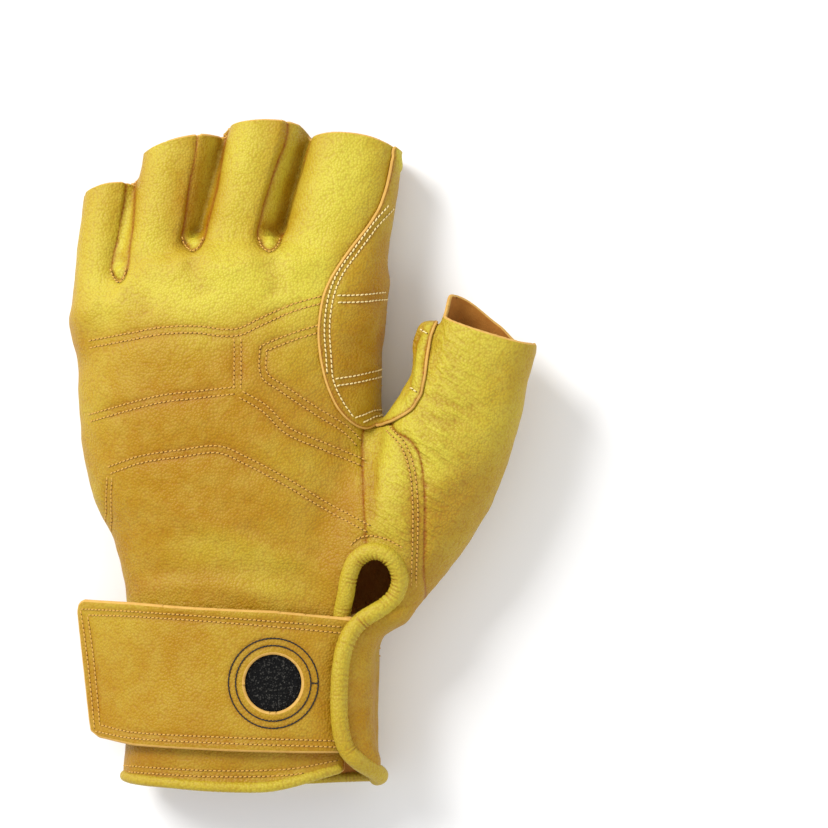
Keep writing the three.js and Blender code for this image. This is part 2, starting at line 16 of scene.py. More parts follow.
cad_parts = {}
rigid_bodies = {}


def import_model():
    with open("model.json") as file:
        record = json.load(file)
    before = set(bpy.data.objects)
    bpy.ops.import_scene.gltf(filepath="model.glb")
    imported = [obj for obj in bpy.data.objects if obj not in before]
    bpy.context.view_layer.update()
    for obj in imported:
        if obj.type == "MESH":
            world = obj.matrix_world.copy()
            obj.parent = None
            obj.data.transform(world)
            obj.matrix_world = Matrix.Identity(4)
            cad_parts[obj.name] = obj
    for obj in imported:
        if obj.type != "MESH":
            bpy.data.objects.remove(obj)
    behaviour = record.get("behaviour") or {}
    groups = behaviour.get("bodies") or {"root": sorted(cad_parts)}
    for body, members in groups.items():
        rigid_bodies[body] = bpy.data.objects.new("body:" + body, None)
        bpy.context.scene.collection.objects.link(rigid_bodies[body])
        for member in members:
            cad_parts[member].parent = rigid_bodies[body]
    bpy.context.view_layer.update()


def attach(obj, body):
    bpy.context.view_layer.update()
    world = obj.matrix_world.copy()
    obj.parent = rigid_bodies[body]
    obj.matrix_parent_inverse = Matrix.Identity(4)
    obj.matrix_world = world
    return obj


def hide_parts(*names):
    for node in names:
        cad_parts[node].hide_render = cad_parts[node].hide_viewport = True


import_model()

MM = 0.001
CELL = 0.85  # grid of the distance field

# Sizes, as in the CAD part
HALF_WIDTH = 52.0
PALM_DEPTH = 38.0
BODY_LENGTH = 175.0
FINGER_REACH = 64.4
FINGER_DEPTH = 27.0
THUMB_WIDTH = 32.0
THUMB_DEPTH = 22.0
LEATHER = 1.3
PATCH_LEATHER = 1.2
PATCH_STOP = 8.0  # how far short of a finger's end the palm's second layer stops
SEAM_GAP = 0.3
BINDING_RADIUS = 2.8
STRAP_THICKNESS = 2.2
STRAP_HOLE = 18.6
HOOK_THICKNESS = 1.0
LOOP_THICKNESS = 0.9
HEM_Y = -0.5886 * BODY_LENGTH
SEAM_Z = 0.37 * PALM_DEPTH
PATCH_LEVEL = PATCH_LEATHER + SEAM_GAP
KNUCKLE_ROW = 0.874
KNUCKLE_ARCH = 0.08 * BODY_LENGTH
HEM_ARCH = 0.024 * BODY_LENGTH
HEM_BOWS = 0.2  # where the hem's bow has died out, in BODY_LENGTH
KNUCKLES_BOW = 0.55  # where the knuckles' begins
ARCH_CENTRE = 0.09 * HALF_WIDTH
HAND_END = 1.015  # in BODY_LENGTH
FINGER_LEVEL = 0.47 * PALM_DEPTH  # the middle of a finger's root
TIP_LEVEL = 0.02 * PALM_DEPTH  # the underside of its cut end
ROOT_SHARE = 0.3  # how far behind its root a finger's form begins, in its length
PALM_SINK = 1.0  # how far the round palm would reach below the floor
STRAP_BED = LOOP_THICKNESS + 2 * SEAM_GAP
FLAP_LIFT = STRAP_BED + STRAP_THICKNESS + 3 * SEAM_GAP + BINDING_RADIUS + LEATHER / 2
CUFF_AXIS = 20.0
WRIST_TOP = 0.36  # where the cuff ends and the hand begins, in BODY_LENGTH
WRIST_RADIUS = 42.0  # the wrist's leather is drawn unrolled, at this radius
HAND_POWER = 2.35  # how square the ovals of the hand, the fingers and the thumb are
FINGER_POWER = 2.4
THUMB_POWER = 2.3
END_ROUND = 5.0  # how softly forms end inside each other
FINGER_JOIN = 6.0  # how softly they run into each other
THUMB_JOIN = 8.0
REST_ROUND = 2.5  # how softly the palm turns into its flat
THUMB_BEGINS = 12.0  # the thumb's form is all on this side of x

# Sizes that the photo alone gives
HEM_RADIUS = 1.7
ROUND_RIM = 0.6  # how far the window's rounded rim bulges into it
PATCH_SIDE_TOP = 6.5  # how high the palm's second layer comes up the little finger's side

# Hand: along in BODY_LENGTH, ulnar and radial in HALF_WIDTH, back in PALM_DEPTH
HAND_SECTIONS = [
    (0.0, 0.72, 0.895, 0.92),
    (0.075, 0.7, 0.895, 0.905),
    (0.16, 0.69, 0.895, 0.885),
    (0.245, 0.69, 0.9, 0.875),
    (0.343, 0.7, 0.92, 0.875),
    (0.446, 0.765, 0.95, 0.905),
    (0.537, 0.91, 0.945, 0.945),
    (0.657, 0.985, 0.905, 0.98),
    (0.789, 1.005, 0.885, 1.0),
    (0.914, 1.01, 0.905, 0.95),
    (0.985, 0.99, 0.93, 0.86),
    (1.02, 0.95, 0.9, 0.72),
]

# Fingers: root across, lean and reach, roll, half widths at root and tip, half depths at root and tip.
# They lean less than the CAD part's, because the photo shows their side strips
FINGERS = [
    (-0.866, 4.1, 0.66, 16, 0.184, 0.182, 0.43, 0.36),
    (-0.575, 12.7, 0.908, 12, 0.238, 0.252, 0.49, 0.425),
    (-0.103, 14.4, 1.0, 8, 0.24, 0.252, 0.5, 0.43),
    (0.52, 11.9, 0.9, 4, 0.34, 0.285, 0.52, 0.445),
]
# How each finger's cut end runs over its back: skew for each mm across, and the height of its arch in mm
FINGER_ENDS = [(0.19, 1.4), (0.42, 2.2), (0.23, 1.4), (0.06, 2.4)]
SIDE_FOLD = 0.3  # where a finger's back folds down to its side strip, in its half width
SIDE_SLOPE = 0.55
FINGER_FILL = 3.5  # how softly neighbouring fingers run into each other
FLANK_WRAP = 6.0  # how much further the back's leather wraps round a finger's outer side

# Thumb: across, along, height, half width, half depth
THUMB_SECTIONS = [
    (0.635, 0.291, 0.45, 0.41, 0.64),
    (0.846, 0.383, 0.47, 0.56, 0.73),
    (1.02, 0.474, 0.5, 0.66, 0.8),
    (1.23, 0.571, 0.53, 0.67, 0.77),
    (1.404, 0.674, 0.58, 0.61, 0.68),
    (1.53, 0.766, 0.63, 0.53, 0.57),
    (1.615, 0.846, 0.68, 0.5, 0.5),
]

# Seams in plan: across in HALF_WIDTH, along in BODY_LENGTH
THUMB_BACK_SEAM = [
    (1.02, 0.735), (0.99, 0.69), (1.04, 0.662), (1.14, 0.644), (1.2, 0.613),
    (1.23, 0.555), (1.23, 0.46), (1.21, 0.35), (1.13, 0.29),
]
THUMB_PALM_SEAM = [
    (1.13, 0.29), (0.77, 0.257), (0.38, 0.231), (-0.08, 0.24), (-0.385, 0.28), (-0.577, 0.354),
]
THUMB_WEB_SEAM = [(-0.577, 0.354), (-0.2, 0.47), (0.35, 0.58), (0.75, 0.66), (1.02, 0.735)]
CROTCH_LINE = [(1.02, 0.735), (1.06, 0.82), (1.1, 0.92), (1.3, 1.25)]
BACK_EDGE = [
    (0.71, -0.2), (0.72, 0.05), (0.745, 0.25), (0.79, 0.32), (0.84, 0.38),
    (0.866, 0.45), (0.85, 0.516), (0.825, 0.6), (0.83, 0.66), (0.9, 0.71), (1.02, 0.735),
]
PATCH_HEEL_EDGE = [
    (-1.2, 0.43), (-0.71, 0.386), (-0.48, 0.4), (-0.2, 0.44), (0.2, 0.5),
    (0.65, 0.565), (1.05, 0.66), (1.33, 0.76), (1.56, 0.9),
]
PATCH_SLIT = [(-1.2, 0.765), (-0.8, 0.787), (-0.42, 0.822), (-0.8, 0.805), (-1.2, 0.787)]

# Finger forks: across in HALF_WIDTH, along in BODY_LENGTH
FORKS = {"little_ring": (-0.735, 0.95), "ring_middle": (-0.215, 1.0), "middle_index": (0.26, 1.0)}
FORK_TONGUE = 0.055  # how far a fork runs down the palm, in BODY_LENGTH
FORK_WEB = 0.03  # how far it runs between the fingers behind their fork
FORK_HEAD = 0.03  # how far ahead of the fork its tongue has its full width
FORK_WING = 0.09  # that half width, in HALF_WIDTH
FORK_SEAM_PALM = -0.55  # the height of its seam on a finger's side, in the half depth

# The rolled edge on the photo, round the eye and then down the flap: pixels, and lift in FLAP_LIFT
ROLL_SEEN = [
    (341, 624, 0), (343, 608, 0), (346, 594, 0), (349, 576, 0), (357, 559, 0), (373, 551, 0),
    (390, 557, 0), (400, 576, 0), (396, 594, 0.1), (386, 605, 0.3), (375, 612, 0.55), (361, 621, 0.8),
    (349, 636, 0.97), (342, 658, 1), (339, 691, 1), (340, 725, 1), (346, 748, 1), (359, 762, 1),
]
EYE_ENDS = 12  # the rows of that table that go round the eye
FLAP_STARTS = 7  # its row where the flap's edge begins
# The flap's foot: angle above level seen from the cuff's axis, along in BODY_LENGTH, lift in FLAP_LIFT
ROLL_FOOT = [(20, 0.03, 0.6), (4, 0.017, 0)]
FLAP_ROOT = 7.0  # where the flap leaves the palm's leather, degrees
THUMB_FLARE = 5.5  # how far the palm side's free edge stands out beside the thumb's strip
THUMB_LIP = 6.5  # how far the thumb's palm side stands out past its back, beside the crotch
THUMB_CLOSED = 3.5  # how far it stays back on the outer side
HEM_CLIMBS = [(1.7, -44, -15), (4.8, 10, 42)]  # how the back's hem climbs: height, from x, to x
SEAM_DIPS = [(0.45, 1.0), (0.25, 2.6)]  # a narrow groove and a soft hollow by a seam: depth, half width


# Plain maths


def smoothstep(value, low, high):
    t = np.clip((value - low) / (high - low), 0, 1)
    return t * t * (3 - 2 * t)


def smooth_min(a, b, reach):
    h = np.clip(0.5 + 0.5 * (b - a) / reach, 0, 1)
    return b + (a - b) * h - reach * h * (1 - h)


def smooth_max(a, b, reach):
    return -smooth_min(-a, -b, reach)


def at(across, along):
    """A place in plan from its shares of the half width and the body's length."""
    return np.array([across * HALF_WIDTH, HEM_Y + along * BODY_LENGTH])


def outline(shares):
    return np.array([at(*share) for share in shares])


def smooth_line(points, per_span=8):
    """A Catmull-Rom curve through points of any dimension."""
    points = np.asarray(points, float)
    ends = [2 * points[0] - points[1], 2 * points[-1] - points[-2]]
    knots = np.vstack([ends[0], points, ends[1]])
    t = np.linspace(0, 1, per_span, endpoint=False)[:, None]
    spans = []
    for a, b, c, d in zip(knots, knots[1:], knots[2:], knots[3:]):
        square = 2 * a - 5 * b + 4 * c - d
        cube = 3 * b - a - 3 * c + d
        spans.append(0.5 * (2 * b + (c - a) * t + square * t**2 + cube * t**3))
    return np.vstack([*spans, points[-1:]])


def evenly(points, pitch):
    """Points a fixed pitch apart along a line."""
    points = np.asarray(points, float)
    run = np.concatenate([[0], np.cumsum(np.linalg.norm(np.diff(points, axis=0), axis=1))])
    stops = np.linspace(0, run[-1], max(2, int(round(run[-1] / pitch)) + 1))
    return np.stack([np.interp(stops, run, column) for column in points.T], axis=1)


def line_distance(points, x, y):
    """Distance in plan to an open line."""
    best = np.full(x.shape, 1e9)
    for (ax, ay), (bx, by) in zip(points, points[1:]):
        dx, dy = bx - ax, by - ay
        t = np.clip(((x - ax) * dx + (y - ay) * dy) / (dx * dx + dy * dy + 1e-12), 0, 1)
        best = np.minimum(best, (x - ax - t * dx) ** 2 + (y - ay - t * dy) ** 2)
    return np.sqrt(best)


def area_field(points, x, y):
    """Signed distance in plan to a closed outline, negative inside."""
    inside = np.zeros(x.shape, bool)
    closed = np.vstack([points, points[:1]])
    for (ax, ay), (bx, by) in zip(closed, closed[1:]):
        if ay == by:
            continue
        crosses = (ay > y) != (by > y)
        inside ^= crosses & (x < (bx - ax) * (y - ay) / (by - ay) + ax)
    return np.where(inside, -1, 1) * line_distance(closed, x, y)


# The hand form as a distance field


def oval(u, v, half, deep, power):
    """About the distance from a place to a squarish oval."""
    a, b = np.abs(u) / half, np.abs(v) / deep
    size = (a**power + b**power) ** (1 / power) + 1e-9
    slope = np.hypot((a / size) ** (power - 1) / half, (b / size) ** (power - 1) / deep)
    return (size - 1) / slope


HAND_CURVES = smooth_line(HAND_SECTIONS)


def hand_along(x, y):
    """The place along the hand, undoing the bow of its hem and knuckles."""
    t2 = ((x - ARCH_CENTRE) / HALF_WIDTH) ** 2
    along = (y - HEM_Y) / BODY_LENGTH
    for _ in range(5):
        hem_bow = HEM_ARCH * (1 - smoothstep(along, 0.0, HEM_BOWS))
        bow = hem_bow - KNUCKLE_ARCH * smoothstep(along, KNUCKLES_BOW, 1.0)
        along = (y - HEM_Y - t2 * bow) / BODY_LENGTH
    return along


def hand_distance(p):
    """The hand without its fingers and thumb."""
    x, y, z = p.T
    along = hand_along(x, y)
    ulnar, radial, back = (np.interp(along, HAND_CURVES[:, 0], HAND_CURVES[:, i]) for i in (1, 2, 3))
    half = (radial + ulnar) / 2 * HALF_WIDTH
    centre = (radial - ulnar) / 2 * HALF_WIDTH
    deep = np.where(z > SEAM_Z, back * PALM_DEPTH - SEAM_Z, SEAM_Z + PALM_SINK)
    side = oval(x - centre, z - SEAM_Z, half, deep, HAND_POWER)
    return smooth_max(side, (along - HAND_END) * BODY_LENGTH, END_ROUND)


def finger_frame(finger):
    """A finger's start, its unit ways along, across and up, and its length."""
    root, lean, reach, roll, wide_root, wide_tip, deep_root, deep_tip = finger
    length = reach * FINGER_REACH
    drop = (deep_tip * FINGER_DEPTH + TIP_LEVEL - FINGER_LEVEL) / length
    lean, roll = math.radians(lean), math.radians(roll)
    along = np.array([math.sin(lean), math.cos(lean), drop])
    along /= np.linalg.norm(along)
    level = np.array([along[1], -along[0], 0.0])
    level /= np.linalg.norm(level)
    up = np.cross(level, along)
    across = math.cos(roll) * level - math.sin(roll) * up
    up = np.cross(across, along)
    start = np.array([*at(root, KNUCKLE_ROW), FINGER_LEVEL])
    return start, along, across, up, length


FINGER_FRAMES = [finger_frame(finger) for finger in FINGERS]


def finger_place(p, i):
    """Where a point lies on a finger: t from its root to its cut end, and its offsets across and up."""
    start, along, across, up, length = FINGER_FRAMES[i]
    q = p - start
    return (q @ along) / length, q @ across, q @ up


def finger_sizes(i, t):
    """A finger's half width and half depth at a share of its length."""
    wide_root, wide_tip, deep_root, deep_tip = FINGERS[i][4:]
    t = np.clip(t, -ROOT_SHARE, 1.4)
    half = (wide_root + (wide_tip - wide_root) * t) * HALF_WIDTH
    deep = (deep_root + (deep_tip - deep_root) * t) * FINGER_DEPTH
    return half, deep


def finger_end(p, i):
    """How far past a finger's cut end points are, in mm."""
    t, u, v = finger_place(p, i)
    half, deep = finger_sizes(i, t)
    skew, arch = FINGER_ENDS[i]
    past = (t - 1) * FINGER_FRAMES[i][4]
    seen = np.maximum(smoothstep(v, -0.3 * deep, 0.5 * deep), smoothstep(-u, 0, 0.4 * half))
    return past + seen * (arch * ((u / half) ** 2 - 0.5) - skew * u)


def finger_distance(p, i):
    """One finger: its back slopes down to its side strip, and its root runs thin into the hand."""
    t, u, v = finger_place(p, i)
    half, deep = finger_sizes(i, t)
    if i < 3:
        v = v + SIDE_SLOPE * np.maximum(u - SIDE_FOLD * half, 0) * smoothstep(v, -0.3 * deep, 0.3 * deep)
    shrink = 1 - 0.55 * smoothstep(-t, 0, 0.35)
    side = oval(u, v, half * shrink, deep * shrink, FINGER_POWER)
    body = smooth_max(side, (-ROOT_SHARE - t) * FINGER_FRAMES[i][4], END_ROUND)
    return np.maximum(body, finger_end(p, i) - 1)


# The thumb's middle line with its half sizes, and one more stop past its cut end
THUMB_STOPS = [
    (*at(across, along), height * PALM_DEPTH, half * THUMB_WIDTH, deep * THUMB_DEPTH)
    for across, along, height, half, deep in THUMB_SECTIONS
]
THUMB_LINE = smooth_line(THUMB_STOPS, 4)
THUMB_LINE = np.vstack([THUMB_LINE, 2.5 * THUMB_LINE[-1:] - 1.5 * THUMB_LINE[-5:-4]])
THUMB_LINE[-1, 3:] = THUMB_LINE[-2, 3:]
THUMB_RUN = np.linalg.norm(np.diff(THUMB_LINE[:-1, :3], axis=0), axis=1).sum()


def thumb_place(p):
    """Where a point lies on the thumb.

    The run along it from the cut end, offsets across and up, the half sizes there, and the offset along."""
    best = np.full(len(p), 1e9)
    centre, way = np.zeros((2, len(p), 3))
    sizes, run = np.zeros((len(p), 2)), np.zeros(len(p))
    lengths = np.linalg.norm(np.diff(THUMB_LINE[:, :3], axis=0), axis=1)
    before = np.concatenate([[0], np.cumsum(lengths)])
    directions = np.gradient(THUMB_LINE[:, :3], axis=0)
    directions /= np.linalg.norm(directions, axis=1)[:, None]
    for i, (a, b) in enumerate(zip(THUMB_LINE, THUMB_LINE[1:])):
        d = b[:3] - a[:3]
        t = np.clip(((p - a[:3]) @ d) / (d @ d), 0, 1)[:, None]
        c = a[:3] + t * d
        gap = ((p - c) ** 2).sum(1)
        near = gap < best
        best[near] = gap[near]
        centre[near] = c[near]
        way[near] = (directions[i] + t * (directions[i + 1] - directions[i]))[near]
        sizes[near] = (a[3:] + t * (b[3:] - a[3:]))[near]
        run[near] = (before[i] + t[:, 0] * lengths[i])[near] - before[-2]
    across = np.stack([way[:, 1], -way[:, 0], np.zeros(len(p))], axis=1)
    across /= np.linalg.norm(across, axis=1)[:, None]
    up = np.cross(across, way)
    q = p - centre
    return run, (q * across).sum(1), (q * up).sum(1), sizes[:, 0], sizes[:, 1], (q * way).sum(1)


def thumb_distance(p):
    """The thumb: narrow where it leaves the palm, and flared low beside the crotch."""
    run, u, v, half, deep, beyond = thumb_place(p)
    swell = 0.6 + 0.4 * smoothstep(run + THUMB_RUN, 0, 16)
    inner_low = smoothstep(-u / half, 0, 0.6) * smoothstep(-v / deep, -0.4, 0.3)
    flare = THUMB_FLARE * inner_low * smoothstep(run, -26, -10) * (1 - smoothstep(run, -6, -2))
    side = oval(u, v, half * swell + flare, deep * swell, THUMB_POWER)
    return np.maximum(side, np.abs(beyond) - 1)


def form_distance(p):
    """The whole hand form, flattened where it lies."""
    hand = hand_distance(p)
    fingers = finger_distance(p, 0)
    for i in (1, 2, 3):
        fingers = smooth_min(fingers, finger_distance(p, i), FINGER_FILL)
    body = smooth_min(hand, fingers, FINGER_JOIN)
    near_thumb = p[:, 0] > THUMB_BEGINS
    thumb = np.full(len(p), 1e3)
    thumb[near_thumb] = thumb_distance(p[near_thumb])
    body = smooth_min(body, thumb, THUMB_JOIN)
    return smooth_max(body, PATCH_LEVEL - p[:, 2], REST_ROUND)


def slope_of(p):
    """The unit normals of the form."""
    steps = 0.25 * np.eye(3)
    slopes = [form_distance(p + step) - form_distance(p - step) for step in steps]
    n = np.stack(slopes, axis=1)
    return n / (np.linalg.norm(n, axis=1)[:, None] + 1e-12)


# The skin: surface nets over the field

LOW, HIGH = np.array([-62.0, -110.0, -3.0]), np.array([110.0, 128.0, 44.0])
BLOCK = 4  # cells to a side of the coarse grid's blocks


def sample_field(low, high):
    """The form's distances on a grid: block by block first, and cell by cell near the surface."""
    blocks = np.ceil((high - low) / (BLOCK * CELL)).astype(int)
    coarse_axes = [low[k] + (np.arange(blocks[k]) * BLOCK + BLOCK / 2) * CELL for k in range(3)]
    coarse = np.stack(np.meshgrid(*coarse_axes, indexing="ij"), axis=-1)
    values = form_distance(coarse.reshape(-1, 3)).reshape(coarse.shape[:3])
    for axis in range(3):
        values = np.repeat(values, BLOCK, axis)
    near = np.abs(values) < 1.5 * BLOCK * CELL
    index = np.argwhere(near)
    values[near] = np.concatenate([form_distance(low + part * CELL) for part in np.array_split(index, 12)])
    return values


def split(a, b, c, d):
    """Two triangles for each face with four corners."""
    return np.concatenate([np.stack(corners, -1).reshape(-1, 3) for corners in ((a, b, c), (a, c, d))])


def surface_nets(values, low):
    """A mesh through the grid's cells where the distance changes sign: points and triangles."""
    inside = values < 0
    shape = np.array(values.shape) - 1
    total, hits = np.zeros((*shape, 3)), np.zeros(shape)

    def corner(a, o):
        return a[o[0] : o[0] + shape[0], o[1] : o[1] + shape[1], o[2] : o[2] + shape[2]]

    for axis in range(3):
        for i in (0, 1):
            for j in (0, 1):
                a = np.insert(np.array([i, j]), axis, 0)
                b = np.insert(np.array([i, j]), axis, 1)
                va, vb = corner(values, a), corner(values, b)
                crosses = corner(inside, a) != corner(inside, b)
                t = np.where(crosses, va / np.where(va == vb, 1, va - vb), 0)
                hits += crosses
                for k in range(3):
                    total[..., k] += np.where(crosses, a[k] + (t if k == axis else 0), 0)
    used = hits > 0
    number = np.full(shape, -1)
    number[used] = np.arange(used.sum())
    points = low + (np.argwhere(used) + total[used] / hits[used][:, None]) * CELL
    quads = []
    for axis in range(3):
        u, v = (axis + 1) % 3, (axis + 2) % 3
        ahead = np.zeros(3, int)
        ahead[axis] = 1
        here = inside[tuple(slice(1, n) for n in shape)]
        there = inside[tuple(slice(1 + ahead[k], shape[k] + ahead[k]) for k in range(3))]
        for flipped, mask in ((False, here & ~there), (True, ~here & there)):
            base = np.argwhere(mask) + 1
            du, dv = np.eye(3, dtype=int)[u], np.eye(3, dtype=int)[v]
            ring = [base - du - dv, base - dv, base, base - du]
            quad = np.stack([number[tuple(r.T)] for r in ring], axis=1)
            quads.append(quad[:, ::-1] if flipped else quad)
    quads = np.vstack(quads)
    quads = quads[(quads >= 0).all(1)]
    return points, split(*quads.T)


skin_points, skin_faces = surface_nets(sample_field(LOW, HIGH), LOW)
for _ in range(3):
    skin_points = skin_points - form_distance(skin_points)[:, None] * slope_of(skin_points)


# The camera of the photograph

VIEW_TILT = math.radians(6)  # from straight above, towards the thumb
VIEW_DISTANCE = 900.0
PHOTO_SIZE = 828.0
PHOTO_SPAN = 269.1  # mm across the picture, where the glove lies
SENSOR = 36.0
AIM = np.array([58.4, 18.2, 15.0])
TOWARDS_CAMERA = np.array([math.sin(VIEW_TILT), 0.0, math.cos(VIEW_TILT)])
CAMERA = AIM + VIEW_DISTANCE * TOWARDS_CAMERA
CAMERA_RIGHT = np.array([math.cos(VIEW_TILT), 0.0, -math.sin(VIEW_TILT)])
PIXEL = PHOTO_SPAN / PHOTO_SIZE


def on_photo(p):
    """The photo's pixels where points are seen."""
    q = p - CAMERA
    scale = -VIEW_DISTANCE / (q @ TOWARDS_CAMERA) / PIXEL
    return PHOTO_SIZE / 2 + (q @ CAMERA_RIGHT) * scale, PHOTO_SIZE / 2 - q[..., 1] * scale


def photo_way(px, py):
    """The way from the camera through a pixel."""
    across = (px - PHOTO_SIZE / 2) * PIXEL * CAMERA_RIGHT
    upwards = (PHOTO_SIZE / 2 - py) * PIXEL * np.array([0, 1, 0])
    way = AIM + across + upwards - CAMERA
    return way / np.linalg.norm(way)


def tree_of(points, faces):
    return BVHTree.FromPolygons(points.tolist(), faces.tolist())


def cast(tree, origin, way):
    """The place, normal and face where a ray first meets a surface."""
    place, normal, face, _ = tree.ray_cast(Vector(origin), Vector(way))
    return (None, None, None) if place is None else (np.array(place), np.array(normal), face)


# The side strips between the fingers, as their backs show them on the photo
FORK_STRIPS = [
    [
        (128, 150), (127, 187), (121, 225), (112, 262), (112, 272), (118, 279),
        (124, 273), (127, 262), (131, 225), (134, 189), (138, 150),
    ],
    [
        (199, 110), (197, 144), (191, 185), (185, 226), (184, 238), (192, 247),
        (201, 241), (205, 228), (213, 195), (222, 151), (230, 110),
    ],
    [
        (290, 100), (288, 134), (275, 175), (261, 221), (259, 237), (269, 248),
        (279, 241), (282, 230), (294, 187), (307, 146), (314, 110),
    ],
]
# Where the palm's second layer shows on the back: beside the index finger, and on the thumb's inner edge
PATCH_SIDE = [
    (393, 120), (391, 155), (377, 211), (349, 252), (331, 280), (322, 305), (319, 340), (324, 374),
    (335, 404), (349, 421), (363, 428), (376, 425), (384, 418), (392, 390), (402, 350), (415, 315),
    (440, 270), (440, 120),
]
PATCH_THUMB = [
    (374, 416), (376, 427), (389, 424), (406, 415), (419, 400), (425, 383), (429, 362), (433, 336),
    (438, 321), (443, 305), (450, 280), (436, 272), (415, 316), (402, 352), (392, 391), (384, 410),
]


# Where the skin is parted. Every field is about millimetres, and negative inside

FAR = 9  # fields are cut off at this distance where they are joined
NO_END = -50.0  # how far past a cut end what has none is taken to be


def blend_fields(lower, upper, share):
    return np.clip(lower, -FAR, FAR) * (1 - share) + np.clip(upper, -FAR, FAR) * share


def level_blend(lower, upper, z):
    """One field below the side seam and another above it."""
    return blend_fields(lower, upper, smoothstep(z, SEAM_Z - 1.5, SEAM_Z + 1.5))


def fork_field(p, i):
    """The strip between two fingers: by the CAD part's shape below, and by the photo's above."""
    x, y, z = p.T
    across, along = list(FORKS.values())[i]
    past = y - at(0, KNUCKLE_ROW)[1]
    lines = []
    for k in (i, i + 1):
        start, way, _, _, length = FINGER_FRAMES[k]
        deep_root, deep_tip = FINGERS[k][6:]
        deep = (deep_root + (deep_tip - deep_root) * past / length) * FINGER_DEPTH
        lines.append((start[0] + way[0] * past, start[2] + way[2] * past, deep))
    (x0, z0, deep0), (x1, z1, deep1) = lines
    t = np.clip((x - x0) / (x1 - x0), 0, 1)
    middle, deep = z0 + (z1 - z0) * t, deep0 + (deep1 - deep0) * t
    foot = at(0, along - FORK_WEB)[1]
    side = np.max([x0 - x, x - x1, middle + FORK_SEAM_PALM * deep - z, foot - y], axis=0)
    head = along + FORK_HEAD
    tip = FORK_WING / 5
    corners = [
        (across - tip, along - FORK_TONGUE),
        (across + tip, along - FORK_TONGUE),
        (across + FORK_WING, head),
        (across - FORK_WING, head),
    ]
    tongue = area_field(outline(corners), x, y)
    lower = np.minimum(side, tongue)
    upper = area_field(smooth_line(FORK_STRIPS[i], 4), *on_photo(p)) * PIXEL
    wrapped = FLANK_WRAP * smoothstep(t, 0.5, 0.7)
    return blend_fields(lower, upper, smoothstep(z - middle + wrapped, 0.0, 2.0))


def thumb_field(p):
    """The set-in thumb: its back seam above, and the web's and the heel's seams below."""
    x, y, z = p.T
    crotch = smooth_line(CROTCH_LINE)[::-1]
    ends = [(5, 0.3), (5, 1.25)]
    upper = np.vstack([outline(crotch), outline(smooth_line(THUMB_BACK_SEAM)), outline(ends)])
    web, heel = outline(smooth_line(THUMB_WEB_SEAM)), outline(smooth_line(THUMB_PALM_SEAM))
    lower = np.vstack([outline(crotch), web[::-1], heel[::-1], outline(ends)])
    return level_blend(area_field(lower, x, y), area_field(upper, x, y), z)


def back_field(p):
    """The back of the hand, from the side seam up to its edge by the index finger and the flap."""
    x, y, z = p.T
    edge = outline([*BACK_EDGE, (5, 0.735), (5, 3), (-5, 3), (-5, -0.2)])
    return np.maximum(area_field(edge, x, y), SEAM_Z - z)


def patch_field(p, cut):
    """The palm's second layer: its heel, its slit and where it comes round to the back."""
    x, y, z = p.T
    palm = area_field(outline([*smooth_line(PATCH_HEEL_EDGE), (1.9, 1.0), (1.9, 1.6), (-1.3, 1.6)]), x, y)
    palm = np.maximum(palm, cut + PATCH_STOP)
    palm = np.maximum(palm, -area_field(outline(PATCH_SLIT), x, y))
    palm = np.where(x < -0.5 * HALF_WIDTH, np.maximum(palm, z - PATCH_SIDE_TOP), palm)
    seen = on_photo(p)
    side = area_field(smooth_line(PATCH_SIDE), *seen) * PIXEL
    thumb = area_field(smooth_line(PATCH_THUMB), *seen) * PIXEL
    return level_blend(palm, np.minimum(side, thumb), z)


def thumb_end(p):
    """How far past the thumb's cut end points are; its palm side stands further out beside the crotch."""
    run, u, v, half, deep, _ = thumb_place(p)
    lip = THUMB_LIP * smoothstep(0.4 - u / half, 0, 1.4) - THUMB_CLOSED * smoothstep(u / half, 0.1, 0.7)
    return run - lip * smoothstep(-v / deep, -0.2, 0.2)


def hem_rise(x, z):
    """The back's hem climbs towards the flap."""
    climb = sum(height * smoothstep(x, start, end) for height, start, end in HEM_CLIMBS)
    return climb * smoothstep(z, SEAM_Z, SEAM_Z + 8)


skin_tree = tree_of(skin_points, skin_faces)


def wrist_place(px, py, lift):
    """Where the wrist's skin carries a lifted edge that the photo shows at a pixel: angle, along, lift."""
    aim = np.array([px, py], float)
    for _ in range(5):
        hit = cast(skin_tree, CAMERA, photo_way(*aim))[0]
        angle = math.atan2(hit[2] - SEAM_Z, hit[0] - CUFF_AXIS)
        outwards = np.array([math.cos(angle), 0, math.sin(angle)])
        aim += np.array([px, py]) - on_photo(hit + (lift * FLAP_LIFT - LEATHER / 2) * outwards)
    return math.degrees(angle), (hit[1] - HEM_Y) / BODY_LENGTH, lift


ROLL = [wrist_place(*seen) for seen in ROLL_SEEN] + ROLL_FOOT


def turned(route):
    """A rolled edge's route as places round the wrist: mm round it, and y."""
    return np.array([(math.radians(angle) * WRIST_RADIUS, at(0, along)[1]) for angle, along, _ in route])


